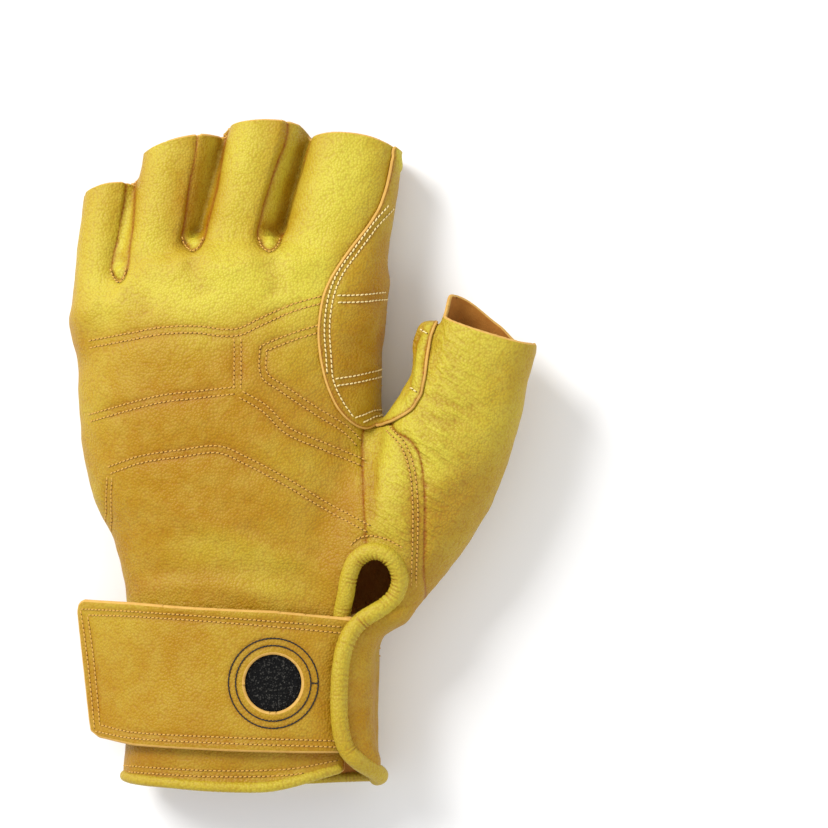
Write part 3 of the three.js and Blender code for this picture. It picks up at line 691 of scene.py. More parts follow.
def build_fields(p):
    """Every field that parts the skin, by name."""
    x, y, z = p.T
    fields = {"back": back_field(p), "thumb": thumb_field(p)}
    for i, name in enumerate(FORKS):
        fields["fork_" + name] = fork_field(p, i)
    fields["any_fork"] = np.min([fields["fork_" + name] for name in FORKS], axis=0)
    along = hand_along(x, y)
    fields["hem"] = hem_rise(x, z) - along * BODY_LENGTH
    nearest = np.argmin([finger_distance(p, i) for i in range(4)], axis=0)
    cut = np.take_along_axis(np.stack([finger_end(p, i) for i in range(4)]), nearest[None], 0)[0]
    cut = np.where(y > at(0, 0.7)[1], cut, NO_END)
    on_thumb = (x > 40) & (fields["thumb"] < 1)
    run = np.full(len(p), NO_END)
    run[on_thumb] = thumb_end(p[on_thumb])
    fields["cut"] = np.where(on_thumb, run, cut)
    fields["patch"] = patch_field(p, fields["cut"])
    angle = np.arctan2(z - SEAM_Z, x - CUFF_AXIS)
    fields["angle"] = angle
    eye = turned(smooth_line(ROLL[:EYE_ENDS]))
    flap = smooth_line(ROLL[FLAP_STARTS:])
    edge = turned([*flap, (-5, -0.02, 0), (-260, -0.02, 0), (-260, 0.6, 0), (flap[0][0], 0.6, 0)])
    front = x > CUFF_AXIS - 30
    unrolled = angle * WRIST_RADIUS
    flap_side = np.where(front, area_field(edge, unrolled, y), -FAR)
    palm_side = np.where(front, -FAR, z - SEAM_Z)
    on_hand = y > at(0, WRIST_TOP)[1]
    fields["palm"] = np.where(on_hand, -fields["back"], np.maximum(flap_side, palm_side))
    fields["eye"] = np.where((angle > 0) & (x > CUFF_AXIS), -area_field(eye, unrolled, y), -FAR)
    return fields


def keep(*fields):
    """What lies inside all of the fields."""
    return np.max(fields, axis=0)


# Surfaces as tables of columns, one row for each point


def clip(table, faces, values):
    """Keeps what of a surface lies where the values are below 0, and parts its triangles there."""
    inside = values[faces] < 0
    count = inside.sum(1)
    start = len(values)
    pairs, pieces = [], [faces[count == 3]]
    for wanted, special in ((1, inside), (2, ~inside)):
        rows = count == wanted
        turn = np.argmax(special[rows], axis=1)
        a, b, c = (faces[rows][np.arange(rows.sum()), (turn + k) % 3] for k in range(3))
        first = start + sum(len(pair) for pair in pairs)
        ab = np.arange(len(a)) + first
        ac = ab + len(a)
        pairs += [np.stack([a, b], 1), np.stack([a, c], 1)]
        if wanted == 1:
            pieces.append(np.stack([a, ab, ac], 1))
        else:
            pieces += [np.stack([ab, b, c], 1), np.stack([ab, c, ac], 1)]
    pairs = np.sort(np.vstack(pairs), axis=1)
    edges, which = np.unique(pairs, axis=0, return_inverse=True)
    i, j = edges.T
    t = values[i] / (values[i] - values[j])
    faces = np.vstack(pieces)
    crossing = faces >= start
    faces[crossing] = start + which.reshape(-1)[faces[crossing] - start]
    grown = {}
    for key, column in table.items():
        share = t if column.ndim == 1 else t[:, None]
        grown[key] = np.concatenate([column, column[i] + share * (column[j] - column[i])])
    used, faces = np.unique(faces, return_inverse=True)
    return {key: column[used] for key, column in grown.items()}, faces.reshape(-1, 3)


def vertex_normals(points, faces):
    a, b, c = (points[faces[:, k]] for k in range(3))
    normal = np.cross(b - a, c - a)
    corners = faces.reshape(-1)
    total = np.stack([np.bincount(corners, np.repeat(n, 3), len(points)) for n in normal.T], 1)
    return total / (np.linalg.norm(total, axis=1)[:, None] + 1e-12)


def rim_of(faces):
    """The directed edges of a surface that have no neighbour."""
    edges = np.vstack([faces[:, [0, 1]], faces[:, [1, 2]], faces[:, [2, 0]]])
    _, where, times = np.unique(np.sort(edges, axis=1), axis=0, return_index=True, return_counts=True)
    return edges[where[times == 1]]


OUTSIDE, INSIDE, EDGE = 0, 1, 2
# How a cut edge bulges, for one layer of leather and for two: outwards and down, in the wall
ROUND_EDGE = [(0.3, 0.3), (0.42, 0.5), (0.3, 0.7)]
DOUBLE_EDGE = [(0.32, 0.12), (0.38, 0.28), (0.06, 0.48), (0.06, 0.54), (0.38, 0.72), (0.32, 0.9)]


def thicken(points, faces, wall, profile=ROUND_EDGE, columns=None):
    """Leather from its outer surface: an inner surface, and an edge that bulges as the profile says."""
    normals = vertex_normals(points, faces)
    count = len(points)
    rim = rim_of(faces)
    ring = np.unique(rim)
    position = np.full(count, -1)
    position[ring] = np.arange(len(ring))
    along = points[rim[:, 1]] - points[rim[:, 0]]
    outwards = np.zeros((count, 3))
    push = np.cross(along, normals[rim[:, 0]] + normals[rim[:, 1]])
    for k in (0, 1):
        for axis in range(3):
            outwards[:, axis] += np.bincount(rim[:, k], push[:, axis], count)
    outwards /= np.linalg.norm(outwards, axis=1)[:, None] + 1e-9
    rows = [points[ring] + wall * (out * outwards[ring] - down * normals[ring]) for out, down in profile]
    everything = np.vstack([points, points - wall * normals, *rows])
    levels = [rim] + [position[rim] + 2 * count + i * len(ring) for i in range(len(profile))] + [rim + count]
    steps = zip(levels, levels[1:])
    sides = np.vstack([split(upper[:, 1], upper[:, 0], lower[:, 0], lower[:, 1]) for upper, lower in steps])
    all_faces = np.vstack([faces, faces[:, ::-1] + count, sides])
    kinds = np.repeat([OUTSIDE, INSIDE, EDGE], [len(faces), len(faces), len(sides)])
    columns = {key: np.concatenate([c, c, *[c[ring]] * len(profile)]) for key, c in (columns or {}).items()}
    return everything, all_faces, kinds, columns


def add_mesh(name, points, faces, materials, kinds=None, columns=None):
    mesh = bpy.data.meshes.new(name)
    mesh.vertices.add(len(points))
    mesh.vertices.foreach_set("co", (np.asarray(points) * MM).astype(np.float32).reshape(-1))
    mesh.loops.add(len(faces) * 3)
    mesh.loops.foreach_set("vertex_index", np.asarray(faces, np.int32).reshape(-1))
    mesh.polygons.add(len(faces))
    mesh.polygons.foreach_set("loop_start", np.arange(0, len(faces) * 3, 3, dtype=np.int32))
    mesh.polygons.foreach_set("use_smooth", np.ones(len(faces), bool))
    for material in materials:
        mesh.materials.append(material)
    if kinds is not None:
        mesh.polygons.foreach_set("material_index", np.asarray(kinds, np.int32))
    for key, column in (columns or {}).items():
        attribute = mesh.attributes.new(key, "FLOAT", "POINT")
        attribute.data.foreach_set("value", np.asarray(column, np.float32))
    mesh.update(calc_edges=True)
    mesh.validate()
    made = bpy.data.objects.new(name, mesh)
    bpy.context.collection.objects.link(made)
    return made


# Places on the skin

ROW_PITCH = 0.5  # how closely rows are laid on the leather
BELOW, ABOVE = -60.0, 90.0
# Places on the palm are pixels too: mm for a pixel, and one place in pixels and in plan
PALM_SCALE = 0.346
PALM_PIXEL = (745, 665)
PALM_PLACE = (46, -103)


def beside(points, distance):
    """A line moved sideways in its plane: to the right of its way where y points down, as in a picture."""
    points = np.asarray(points, float)
    way = np.gradient(points, axis=0)
    way /= np.linalg.norm(way, axis=1)[:, None] + 1e-9
    return points + distance * np.stack([-way[:, 1], way[:, 0]], axis=1)


def photo_line(tree, pixels, pitch=ROW_PITCH):
    """A line drawn on the photo, laid on a surface: rows of place, normal and face."""
    drawn = evenly(smooth_line(pixels), pitch * PHOTO_SIZE / PHOTO_SPAN)
    hits = [cast(tree, CAMERA, photo_way(*pixel)) for pixel in drawn]
    return [hit for hit in hits if hit[0] is not None]


def plan_line(tree, line, below=True):
    """A line drawn in plan, laid on the palm side or on the back."""
    start, way = (BELOW, (0, 0, 1)) if below else (ABOVE, (0, 0, -1))
    hits = [cast(tree, (x, y, start), way) for x, y in evenly(line, ROW_PITCH)]
    return [hit for hit in hits if hit[0] is not None]


def palm_plan(pixels):
    """The palm's pixels as places in plan."""
    x = PALM_PLACE[0] - (PALM_PIXEL[0] - np.asarray(pixels, float)[:, 0]) * PALM_SCALE
    y = PALM_PLACE[1] + (PALM_PIXEL[1] - np.asarray(pixels, float)[:, 1]) * PALM_SCALE
    return np.stack([x, y], axis=1)


# Rows of stitching on the back: places on the photo, and how far beside them each row runs, in pixels
BACK_ROWS = [
    (
        [
            (88, 341), (129, 333), (163, 327), (198, 326), (221, 329), (239, 328), (260, 318), (290, 305),
            (322, 296),
        ],
        (0, 7),
    ),
    ([(88, 415), (129, 403), (163, 395), (198, 391), (234, 387)], (0, 7)),
    ([(241, 338), (241, 388)], (0, 7)),
    ([(242, 391), (267, 406), (290, 428), (328, 444), (364, 459)], (0, 7)),
    (
        [
            (319, 325), (290, 334), (265, 344), (260, 350), (261, 376), (280, 391), (313, 413), (342, 431),
            (357, 446),
        ],
        (0, -7),
    ),
    (
        [(108, 467), (140, 456), (180, 450), (218, 446), (248, 458), (288, 479), (328, 503), (371, 526)],
        (0, 7),
    ),
    ([(112, 477), (110, 505), (111, 538)], (0, 5)),
    (
        [(386, 430), (399, 444), (406, 460), (410, 475), (412, 493), (413, 520), (412, 571), (410, 600)],
        (0, -5),
    ),
    ([(110, 268), (113, 277), (118, 282), (123, 277), (126, 269)], (0,)),
    ([(182, 236), (185, 244), (192, 250), (199, 245), (203, 238)], (0,)),
    ([(258, 237), (262, 246), (270, 251), (277, 246), (281, 238)], (0,)),
    ([(350, 546), (359, 538), (372, 536), (388, 540), (403, 548)], (0,)),
    ([(118, 765), (170, 769), (230, 771), (290, 769), (338, 760)], (0, 6)),
]
# The same on what shows of the second layer
PATCH_ROWS = [
    (
        [
            (389, 208), (373, 230), (357, 253), (342, 275), (334, 294), (330, 314),
            (329, 335), (330, 355), (332, 379), (340, 400), (350, 416),
        ],
        (0, 5),
    ),
    ([(336, 296), (360, 295), (383, 292)], (0, 7)),
    ([(334, 379), (358, 375), (381, 368)], (0, 7)),
    ([(352, 418), (364, 414), (372, 411), (381, 411)], (0, 7)),
    ([(422, 329), (428, 333), (433, 335)], (0,)),
    ([(413, 389), (419, 393), (424, 396)], (0,)),
]

# Rows on the palm, in the palm's pixels
PALM_ROWS = [
    ([(442, 240), (483, 216), (542, 203), (601, 200), (660, 203), (707, 210), (754, 210)], (0, 8)),
    ([(446, 262), (483, 245), (535, 237), (556, 240), (560, 250), (542, 265), (494, 278), (450, 291)], (0,)),
    ([(468, 307), (518, 292), (577, 280), (636, 278), (749, 280)], (0, 8)),
]

# Folds seen on the photo: places, half width in mm, and height in mm; below 0 is a crease
FOLDS = [
    ([(385, 418), (378, 440), (372, 470), (372, 500)], 3.0, -1.0),
    ([(363, 438), (368, 460), (372, 492), (371, 530)], 1.6, -0.8),
    ([(392, 425), (420, 440), (450, 450)], 4.0, 0.6),
    ([(400, 400), (430, 418), (468, 428)], 2.2, -0.5),
    ([(404, 384), (440, 402), (490, 410)], 2.0, -0.4),
    ([(425, 520), (455, 500), (480, 470)], 3.0, -0.4),
    ([(120, 560), (180, 575), (250, 570), (330, 590)], 3.5, -0.6),
    ([(126, 590), (200, 585), (290, 598)], 3.0, 0.6),
    ([(150, 500), (200, 520), (260, 545), (330, 560)], 4.0, 0.5),
    ([(230, 520), (290, 548), (340, 552)], 2.5, -0.5),
    ([(140, 262), (165, 272), (190, 262)], 3.5, 0.7),
    ([(196, 262), (232, 268), (262, 258)], 3.5, 0.7),
    ([(276, 262), (310, 262), (345, 240)], 4.0, 0.6),
    ([(88, 296), (110, 304), (132, 292)], 3.0, 0.6),
    ([(118, 290), (138, 300), (150, 318)], 3.0, -0.5),
    ([(192, 255), (196, 275), (205, 300)], 3.5, -0.6),
    ([(268, 255), (272, 275), (276, 300)], 3.5, -0.6),
    ([(190, 233), (203, 226)], 1.1, -0.9),
    ([(262, 226), (276, 230)], 1.1, -0.7),
    ([(118, 262), (126, 258)], 0.9, -0.6),
    ([(118, 268), (118, 275)], 1.9, 1.0),
    ([(193, 238), (193, 244)], 2.1, 1.1),
    ([(270, 238), (270, 244)], 2.1, 1.1),
    ([(392, 152), (396, 162), (396, 178)], 1.8, 0.8),
    ([(443, 296), (432, 316), (424, 332), (417, 353), (414, 374), (412, 390), (402, 405)], 0.9, -0.8),
    ([(440, 312), (431, 330), (424, 352), (421, 374), (416, 393), (404, 409)], 1.7, 0.7),
]

# Painted highlights, where the leather is palest in the light: places, half width in mm, and how much
PAINTED_HIGHLIGHTS = [
    ([(112, 296), (150, 288), (190, 288), (240, 282), (300, 282)], 12.0, 0.75),
    ([(98, 190), (92, 270)], 7.0, 0.35),
    ([(160, 135), (158, 190), (150, 240)], 7.0, 0.6),
    ([(252, 122), (240, 180), (225, 240)], 8.0, 0.65),
    ([(345, 135), (335, 190), (310, 250)], 13.0, 0.65),
    ([(470, 340), (450, 400), (425, 450)], 19.0, 0.95),
    ([(131, 165), (121, 245)], 2.2, 0.5),
    ([(214, 145), (196, 225)], 2.8, 0.6),
    ([(297, 130), (273, 215)], 2.8, 0.5),
    ([(380, 440), (388, 480), (386, 530)], 7.5, 0.6),
    ([(210, 545), (250, 560), (285, 590)], 9.0, 0.35),
    ([(118, 266), (118, 277)], 1.8, 1.0),
    ([(193, 236), (193, 246)], 2.0, 1.0),
    ([(270, 236), (270, 246)], 2.0, 1.0),
    ([(395, 150), (397, 178)], 2.5, 0.8),
    ([(440, 312), (431, 330), (424, 352), (421, 374), (416, 393), (400, 412)], 2.2, 0.9),
]
# Raw brown edges, and painted shade where the leather lies in deep shade: places, half width in mm, and how
# much
RAW_EDGES_AND_PAINTED_SHADE = [
    ([(425, 320), (414, 345), (408, 368), (404, 388), (392, 405)], 1.3, 0.7),
    ([(340, 560), (335, 590), (332, 610)], 4.0, 0.16),
    ([(330, 480), (345, 520), (345, 560)], 6.0, 0.14),
    ([(378, 330), (376, 370), (378, 400)], 3.0, 0.22),
    ([(470, 470), (450, 520), (430, 570)], 6.0, 0.16),
    ([(120, 590), (200, 592), (330, 612)], 4.0, 0.2),
    ([(122, 756), (230, 762), (330, 754)], 3.0, 0.2),
]
# The thumb's fine wrinkles: places, and half width in mm
WRINKLES = ([(440, 345), (450, 400), (430, 460), (410, 520)], 13.0)

# The leather's own swells, its clouds of colour and the strap's swell: height or strength, pitch and seed
SWELLS = [(0.22, 22, 3), (0.08, 7, 5)]
CLOUDS = (0.12, 40, 11)
STRAP_SWELL = (0.2, 30, 9)
STITCH_DIP = 0.9  # half width of the dip that a row of stitches pulls
STITCH_HOLLOW = 2.8  # and of the soft hollow round it


def line_reach(points, line, half, fade=0.2):
    """How near points are to a line in space: 1 on it, down to 0, and fading over a share of its ends."""
    line = np.asarray(line)
    near = np.all((points > line.min(0) - 3 * half) & (points < line.max(0) + 3 * half), axis=1)
    index = np.flatnonzero(near)
    best = np.full(len(index), 1e9)
    share = np.zeros(len(index))
    for k, (a, b) in enumerate(zip(line, line[1:])):
        d = b - a
        t = np.clip(((points[index] - a) @ d) / (d @ d + 1e-9), 0, 1)
        gap = ((points[index] - a - t[:, None] * d) ** 2).sum(1)
        closer = gap < best
        best[closer] = gap[closer]
        share[closer] = (k + t[closer]) / (len(line) - 1)
    reach = np.zeros(len(points))
    reach[index] = np.exp(-best / half**2)
    if fade:
        reach[index] *= smoothstep(np.minimum(share, 1 - share), 0, fade)
    return reach


def waves(p, height, pitch, seed):
    """A soft random field from nine crossing waves."""
    draw = np.random.default_rng(seed)
    total = np.zeros(len(p))
    for _ in range(9):
        way = draw.normal(size=3)
        way /= np.linalg.norm(way)
        total += np.sin(p @ way * 2 * math.pi / (pitch * draw.uniform(0.7, 1.4)) + draw.uniform(0, 6.3))
    return height * (total / 3)


# The skin's columns

skin = {"point": skin_points, "normal": slope_of(skin_points), **build_fields(skin_points)}


def laid(hits):
    """Places on the skin or on its second layer, with normals, and the rows of the skin that they are at."""
    rows = np.array([skin_faces[face][0] for _, _, face in hits])
    places = np.array([place for place, _, _ in hits])
    return places, skin["normal"][rows], rows


# Double rows beside seams on the palm: the seam, whether they are on the second layer, and how far beside
SEAM_ROWS = [(PATCH_HEEL_EDGE[1:], True, (2.2, 4.8)), (THUMB_PALM_SEAM, False, (2.0, 4.4))]
END_ROWS = (2.4, 4.8)  # how far inside the second layer's end its rows cross each finger

stitch_lines = []  # (hits, on the second layer)
for rows, second in ((BACK_ROWS, False), (PATCH_ROWS, True)):
    for pixels, offsets in rows:
        stitch_lines += [(photo_line(skin_tree, beside(pixels, offset)), second) for offset in offsets]
for pixels, offsets in PALM_ROWS:
    stitch_lines += [(plan_line(skin_tree, palm_plan(beside(pixels, offset))), True) for offset in offsets]
for seam, second, offsets in SEAM_ROWS:
    line = outline(smooth_line(seam))
    stitch_lines += [(plan_line(skin_tree, beside(line, offset)), second) for offset in offsets]
for i, (start, along, across, _, length) in enumerate(FINGER_FRAMES):
    half = finger_sizes(i, 1)[0] * 0.8
    for offset in END_ROWS:
        centre = start + along * (length - (PATCH_STOP + offset))
        ends = [(centre + side * half * across)[:2] for side in (-1, 1)]
        stitch_lines.append((plan_line(skin_tree, ends), True))


def sewn(hits, second):
    """The hits of a row that have leather to hold them."""
    kept = []
    for hit in hits:
        row = skin_faces[hit[2]][0]
        short = skin["cut"][row] > -1.5 or skin["hem"][row] > -1.7 or skin["eye"][row] > -2.5
        if not short and not (second and skin["patch"][row] > -0.6):
            kept.append(hit)
    return kept


stitch_lines = [(sewn(hits, second), second) for hits, second in stitch_lines]
stitch_lines = [(laid(hits), second) for hits, second in stitch_lines if len(hits) > 3]


def seen_reach(pixels, half, fade=0):
    """How near the skin's points are to a line drawn on the photo, over what it crosses of the glove."""
    places = [hit[0] for hit in photo_line(skin_tree, pixels, pitch=2.0)]
    return line_reach(skin_points, places, half, fade) if len(places) > 1 else np.zeros(len(skin_points))


relief = sum(waves(skin_points, *swell) for swell in SWELLS)
# Painted shade: the crease column turns the leather brown in the folds' creases and in the dips that the
# stitches pull
crease = np.zeros(len(skin_points))
for pixels, half, height in FOLDS:
    reach = seen_reach(pixels, half, fade=0.2)
    relief += height * reach
    crease = np.maximum(crease, -0.35 * height * reach)
for (places, _, _), _ in stitch_lines:
    narrow = line_reach(skin_points, places[::3], STITCH_DIP)
    wide = line_reach(skin_points, places[::6], STITCH_HOLLOW)
    relief -= 0.28 * narrow + 0.22 * wide
    crease = np.maximum(crease, 0.3 * narrow + 0.06 * wide)
skin["relief"] = relief
skin["crease"] = crease
# The tone column: random clouds of colour, with painted highlights where the leather is lit
skin["pale"] = waves(skin_points, *CLOUDS)
for pixels, half, amount in PAINTED_HIGHLIGHTS:
    skin["pale"] += amount * seen_reach(pixels, half)
# The raw brown edge, and painted shade where the leather lies in deep shade
for pixels, half, amount in RAW_EDGES_AND_PAINTED_SHADE:
    skin["crease"] = np.maximum(skin["crease"], amount * seen_reach(pixels, half))
skin["wrinkle"] = seen_reach(*WRINKLES)


def seam_dip(distance):
    """How deep the leather dips beside a seam."""
    return sum(depth * np.exp(-((distance / half) ** 2)) for depth, half in SEAM_DIPS)


def flap_lift(table):
    """How far the flap stands off the wrist, at each point of the skin."""
    seen = ROLL[FLAP_STARTS : -len(ROLL_FOOT)]
    at_hem = (seen[-1][0], ROLL_FOOT[0][1], 1)
    rows = sorted((along, angle, lift) for angle, along, lift in [*seen, at_hem])
    along = (table["point"][:, 1] - HEM_Y) / BODY_LENGTH
    edge = np.radians(np.interp(along, [row[0] for row in rows], [row[1] for row in rows]))
    lift = np.interp(along, [row[0] for row in rows], [row[2] for row in rows])
    root = math.radians(FLAP_ROOT)
    share = smoothstep((table["angle"] - root) / (edge - root), 0.0, 0.7)
    on_flap = (table["point"][:, 0] > CUFF_AXIS) & (table["angle"] > root)
    return np.where(on_flap, FLAP_LIFT * lift * share, 0)


# The finishes read painted shade with the raw brown edges, the tone with painted highlights, and where the
# thumb wrinkles
LOOKS = ("crease", "pale", "wrinkle")  # columns that the finishes read
FLOOR_GAP = 0.02  # nothing comes nearer to the floor


def above_floor(points):
    points[:, 2] = np.maximum(points[:, 2], FLOOR_GAP)
    return points


def panel(name, seam, limits, raised=0.0, wall=LEATHER, lifted=False):
    """One piece of leather: the skin within a seam and its free edges, shaped and thickened."""
    columns = {key: skin[key] for key in ("point", "normal", "relief", "angle", *LOOKS)}
    columns["seam"] = seam
    table, faces = clip(columns, skin_faces, keep(seam, *limits))
    dip = seam_dip(table["seam"])
    out = raised + table["relief"] - (dip if not raised else 0.3 * dip)
    points = table["point"] + out[:, None] * table["normal"]
    if lifted:
        outwards = np.stack([np.cos(table["angle"]), np.zeros(len(points)), np.sin(table["angle"])], axis=1)
        points = points + flap_lift(table)[:, None] * outwards
    # Painted shade: a dark line along each seam
    table["crease"] = np.maximum(table["crease"], 0.8 * np.exp(-((table["seam"] / 0.5) ** 2)))
    points, faces, kinds, looks = thicken(points, faces, wall, columns={key: table[key] for key in LOOKS})
    return add_mesh(name + "_leather", above_floor(points), faces, LEATHERS, kinds, looks)


# Finishes


def linear(red, green, blue):
    """An sRGB colour of 0 to 255 as the linear numbers that a shader takes."""
    shares = [c / 255 for c in (red, green, blue)]
    return tuple(s / 12.92 if s <= 0.04045 else ((s + 0.055) / 1.055) ** 2.4 for s in shares) + (1.0,)


class Wire:
    """A shader socket that Python's operators work on."""

    def __init__(self, tree, socket):
        self.tree, self.socket = tree, socket

    def math(self, operation, *values):
        node = self.tree.nodes.new("ShaderNodeMath")
        node.operation = operation
        for socket, value in zip(node.inputs, values):
            put(self.tree, socket, value)
        return Wire(self.tree, node.outputs[0])

    def __add__(self, other):
        return self.math("ADD", self, other)

    def __sub__(self, other):
        return self.math("SUBTRACT", self, other)

    def __rsub__(self, other):
        return self.math("SUBTRACT", other, self)

    def __mul__(self, other):
        return self.math("MULTIPLY", self, other)

    __radd__ = __add__
    __rmul__ = __mul__

    def held(self):
        """Held between 0 and 1."""
        return self.math("MINIMUM", self.math("MAXIMUM", self, 0.0), 1.0)


def put(tree, socket, value):
    """Links a wire to a socket, or sets the socket's own value."""
    if isinstance(value, Wire):
        tree.links.new(value.socket, socket)
    else:
        socket.default_value = value


class Finish:
    """A material with one Principled shader."""

    def __init__(self, name, **sockets):
        self.material = bpy.data.materials.new(name)
        self.material.use_nodes = True
        self.tree = self.material.node_tree
        self.shader = self.tree.nodes["Principled BSDF"]
        self.set(**sockets)
        self.place = self.node("ShaderNodeTexCoord", output="Object")

    def set(self, **sockets):
        for name, value in sockets.items():
            put(self.tree, self.shader.inputs[name.replace("_", " ")], value)

    def node(self, kind, settings=None, output=0, **sockets):
        node = self.tree.nodes.new(kind)
        for key, value in (settings or {}).items():
            setattr(node, key, value)
        for name, value in sockets.items():
            put(self.tree, node.inputs[name.replace("_", " ")], value)
        return Wire(self.tree, node.outputs[output])

    def column(self, name):
        return self.node("ShaderNodeAttribute", {"attribute_name": name}, output="Fac")

    def noise(self, scale, detail, roughness=0.5, vector=None):
        sizes = {"Scale": scale, "Detail": detail, "Roughness": roughness}
        return self.node("ShaderNodeTexNoise", Vector=vector or self.place, **sizes)

    def cells(self, scale):
        """The distance from the middle of the nearest cell."""
        return self.node("ShaderNodeTexVoronoi", output="Distance", Vector=self.place, Scale=scale)

    def blend(self, share, first, second):
        return self.node("ShaderNodeMixRGB", Fac=share, Color1=first, Color2=second)

    def bump(self, height, strength, depth):
        """Depth is in metres."""
        self.set(Normal=self.node("ShaderNodeBump", Strength=strength, Distance=depth, Height=height))


# Colours of the leather and of its grain: lemon is its tone where lit and amber where shaded, painted light
# mixed with random clouds; brown is for the grain's valleys, painted shade and raw edges
LEMON = linear(196, 182, 52)
PALE_LEMON = linear(206, 196, 92)
AMBER = linear(166, 122, 2)
BROWN = linear(138, 68, 2)
PEBBLES = 1250.0  # of grain in a metre
WRINKLE_TURN = math.radians(-32)
WRINKLE_STRETCH = (7, 1, 1)


def grain_leather():
    """Golden leather: random clouds and painted light from amber in shade to lemon where lit, fine pebbles,
    painted shade in brown in creases, seams and stitch dips, brown raw edges, and wrinkles on the thumb with
    painted shade between them.
    """
    finish = Finish("golden_goatskin", Roughness=0.5, Specular_IOR_Level=0.27)
    crease, pale, wrinkle = (finish.column(name) for name in LOOKS)
    cloud = finish.noise(35.0, 3.0)
    mottle = finish.noise(160.0, 4.0, 0.6)
    # Painted light: amber in shade and lemon where lit, mixed with random clouds
    colour = finish.blend((pale + cloud * 0.9 - 0.35).held(), AMBER, LEMON)
    colour = finish.blend((mottle * 1.8 - 0.75).held() * 0.3, colour, PALE_LEMON)
    pebbles = finish.cells(PEBBLES)
    turned_place = finish.node(
        "ShaderNodeMapping",
        {"vector_type": "TEXTURE"},
        Vector=finish.place,
        Rotation=(0, 0, WRINKLE_TURN),
        Scale=WRINKLE_STRETCH,
    )
    folds = (finish.noise(560.0, 2.0, vector=turned_place) * 5.0 - 2.1).held()
    valleys = (pebbles * 2.2 - 0.9).held()
    # Browner in the pebbles' valleys, and painted shade in creases, seams, stitch dips and between the
    # thumb's wrinkles, with the raw edges' brown
    shade = valleys * 0.27 + crease * 0.85 + (1 - folds) * wrinkle * 0.22
    colour = finish.blend(shade.held(), colour, BROWN)
    height = finish.noise(900.0, 3.0) * 0.5 - pebbles + folds * wrinkle * 2.0
    finish.set(Base_Color=colour, Roughness=(mottle * 0.2 + 0.42))
    finish.bump(height, 0.5, 0.0005)
    return finish.material


def suede():
    finish = Finish("suede_inside", Roughness=0.95, Specular_IOR_Level=0.2)
    colour = finish.blend(finish.noise(300.0, 4.0), linear(150, 92, 34), linear(190, 128, 54))
    finish.set(Base_Color=colour)
    finish.bump(finish.noise(2200.0, 3.0), 0.5, 0.0004)
    return finish.material


def cut_edge():
    finish = Finish("cut_leather_edge", Roughness=0.8)
    finish.set(Base_Color=finish.blend(finish.noise(500.0, 3.0), linear(192, 142, 58), linear(218, 176, 92)))
    return finish.material


def black_weave():
    finish = Finish("black_woven_loop", Roughness=0.95, Specular_IOR_Level=0.2)
    loops = finish.cells(1500.0)
    lit = (finish.noise(900.0, 3.0, 0.7) * 2.4 - loops * 1.2 - 0.7).held()
    finish.set(Base_Color=finish.blend(lit, linear(9, 9, 10), linear(92, 90, 84)))
    finish.bump(loops * -1.0, 0.9, 0.0006)
    return finish.material


def thread(name, colour):
    return Finish(name, Base_Color=colour, Roughness=0.7).material


LEATHERS = [grain_leather(), suede(), cut_edge()]
WEAVE = black_weave()
CREAM_THREAD = thread("cream_thread", linear(236, 214, 150))
TAN_THREAD = thread("tan_thread", linear(206, 160, 70))
BLACK_THREAD = thread("black_thread", linear(24, 20, 20))
# Painted shade: dark brown discs for the needle holes at the stitches' ends
HOLE_SHADE = thread("needle_hole_shade", linear(84, 48, 14))


# The panels

no_thumb, no_forks = -skin["thumb"], -skin["any_fork"]
ends = (skin["cut"], skin["hem"] - 1.0)
seams = {
    "back_panel": keep(skin["back"], no_thumb, no_forks),
    "palm_panel": keep(skin["palm"], no_thumb, no_forks),
    "thumb": keep(skin["thumb"], no_forks),
}
parts = {}
for name, seam in seams.items():
    parts[name] = panel(name, seam, (skin["eye"], *ends), lifted=name == "palm_panel")
for name in FORKS:
    parts["fork_" + name] = panel("fork_" + name, skin["fork_" + name], (skin["cut"],))
patch_seam = keep(skin["patch"], no_forks + SEAM_GAP / 2)
parts["palm_patch"] = panel("palm_patch", patch_seam, ends, raised=PATCH_LEVEL, wall=PATCH_LEATHER)


# Rolled edges

TUBE_STEP = 0.35
TUBE_SIDES = 24
TUBE_SEED = 1
GATHERS = 0.012  # how deep the roll's gathers are, in its radius
BEND_GATHERS = 0.045  # how much deeper inside a bend
ROLL_PALE = 0.5


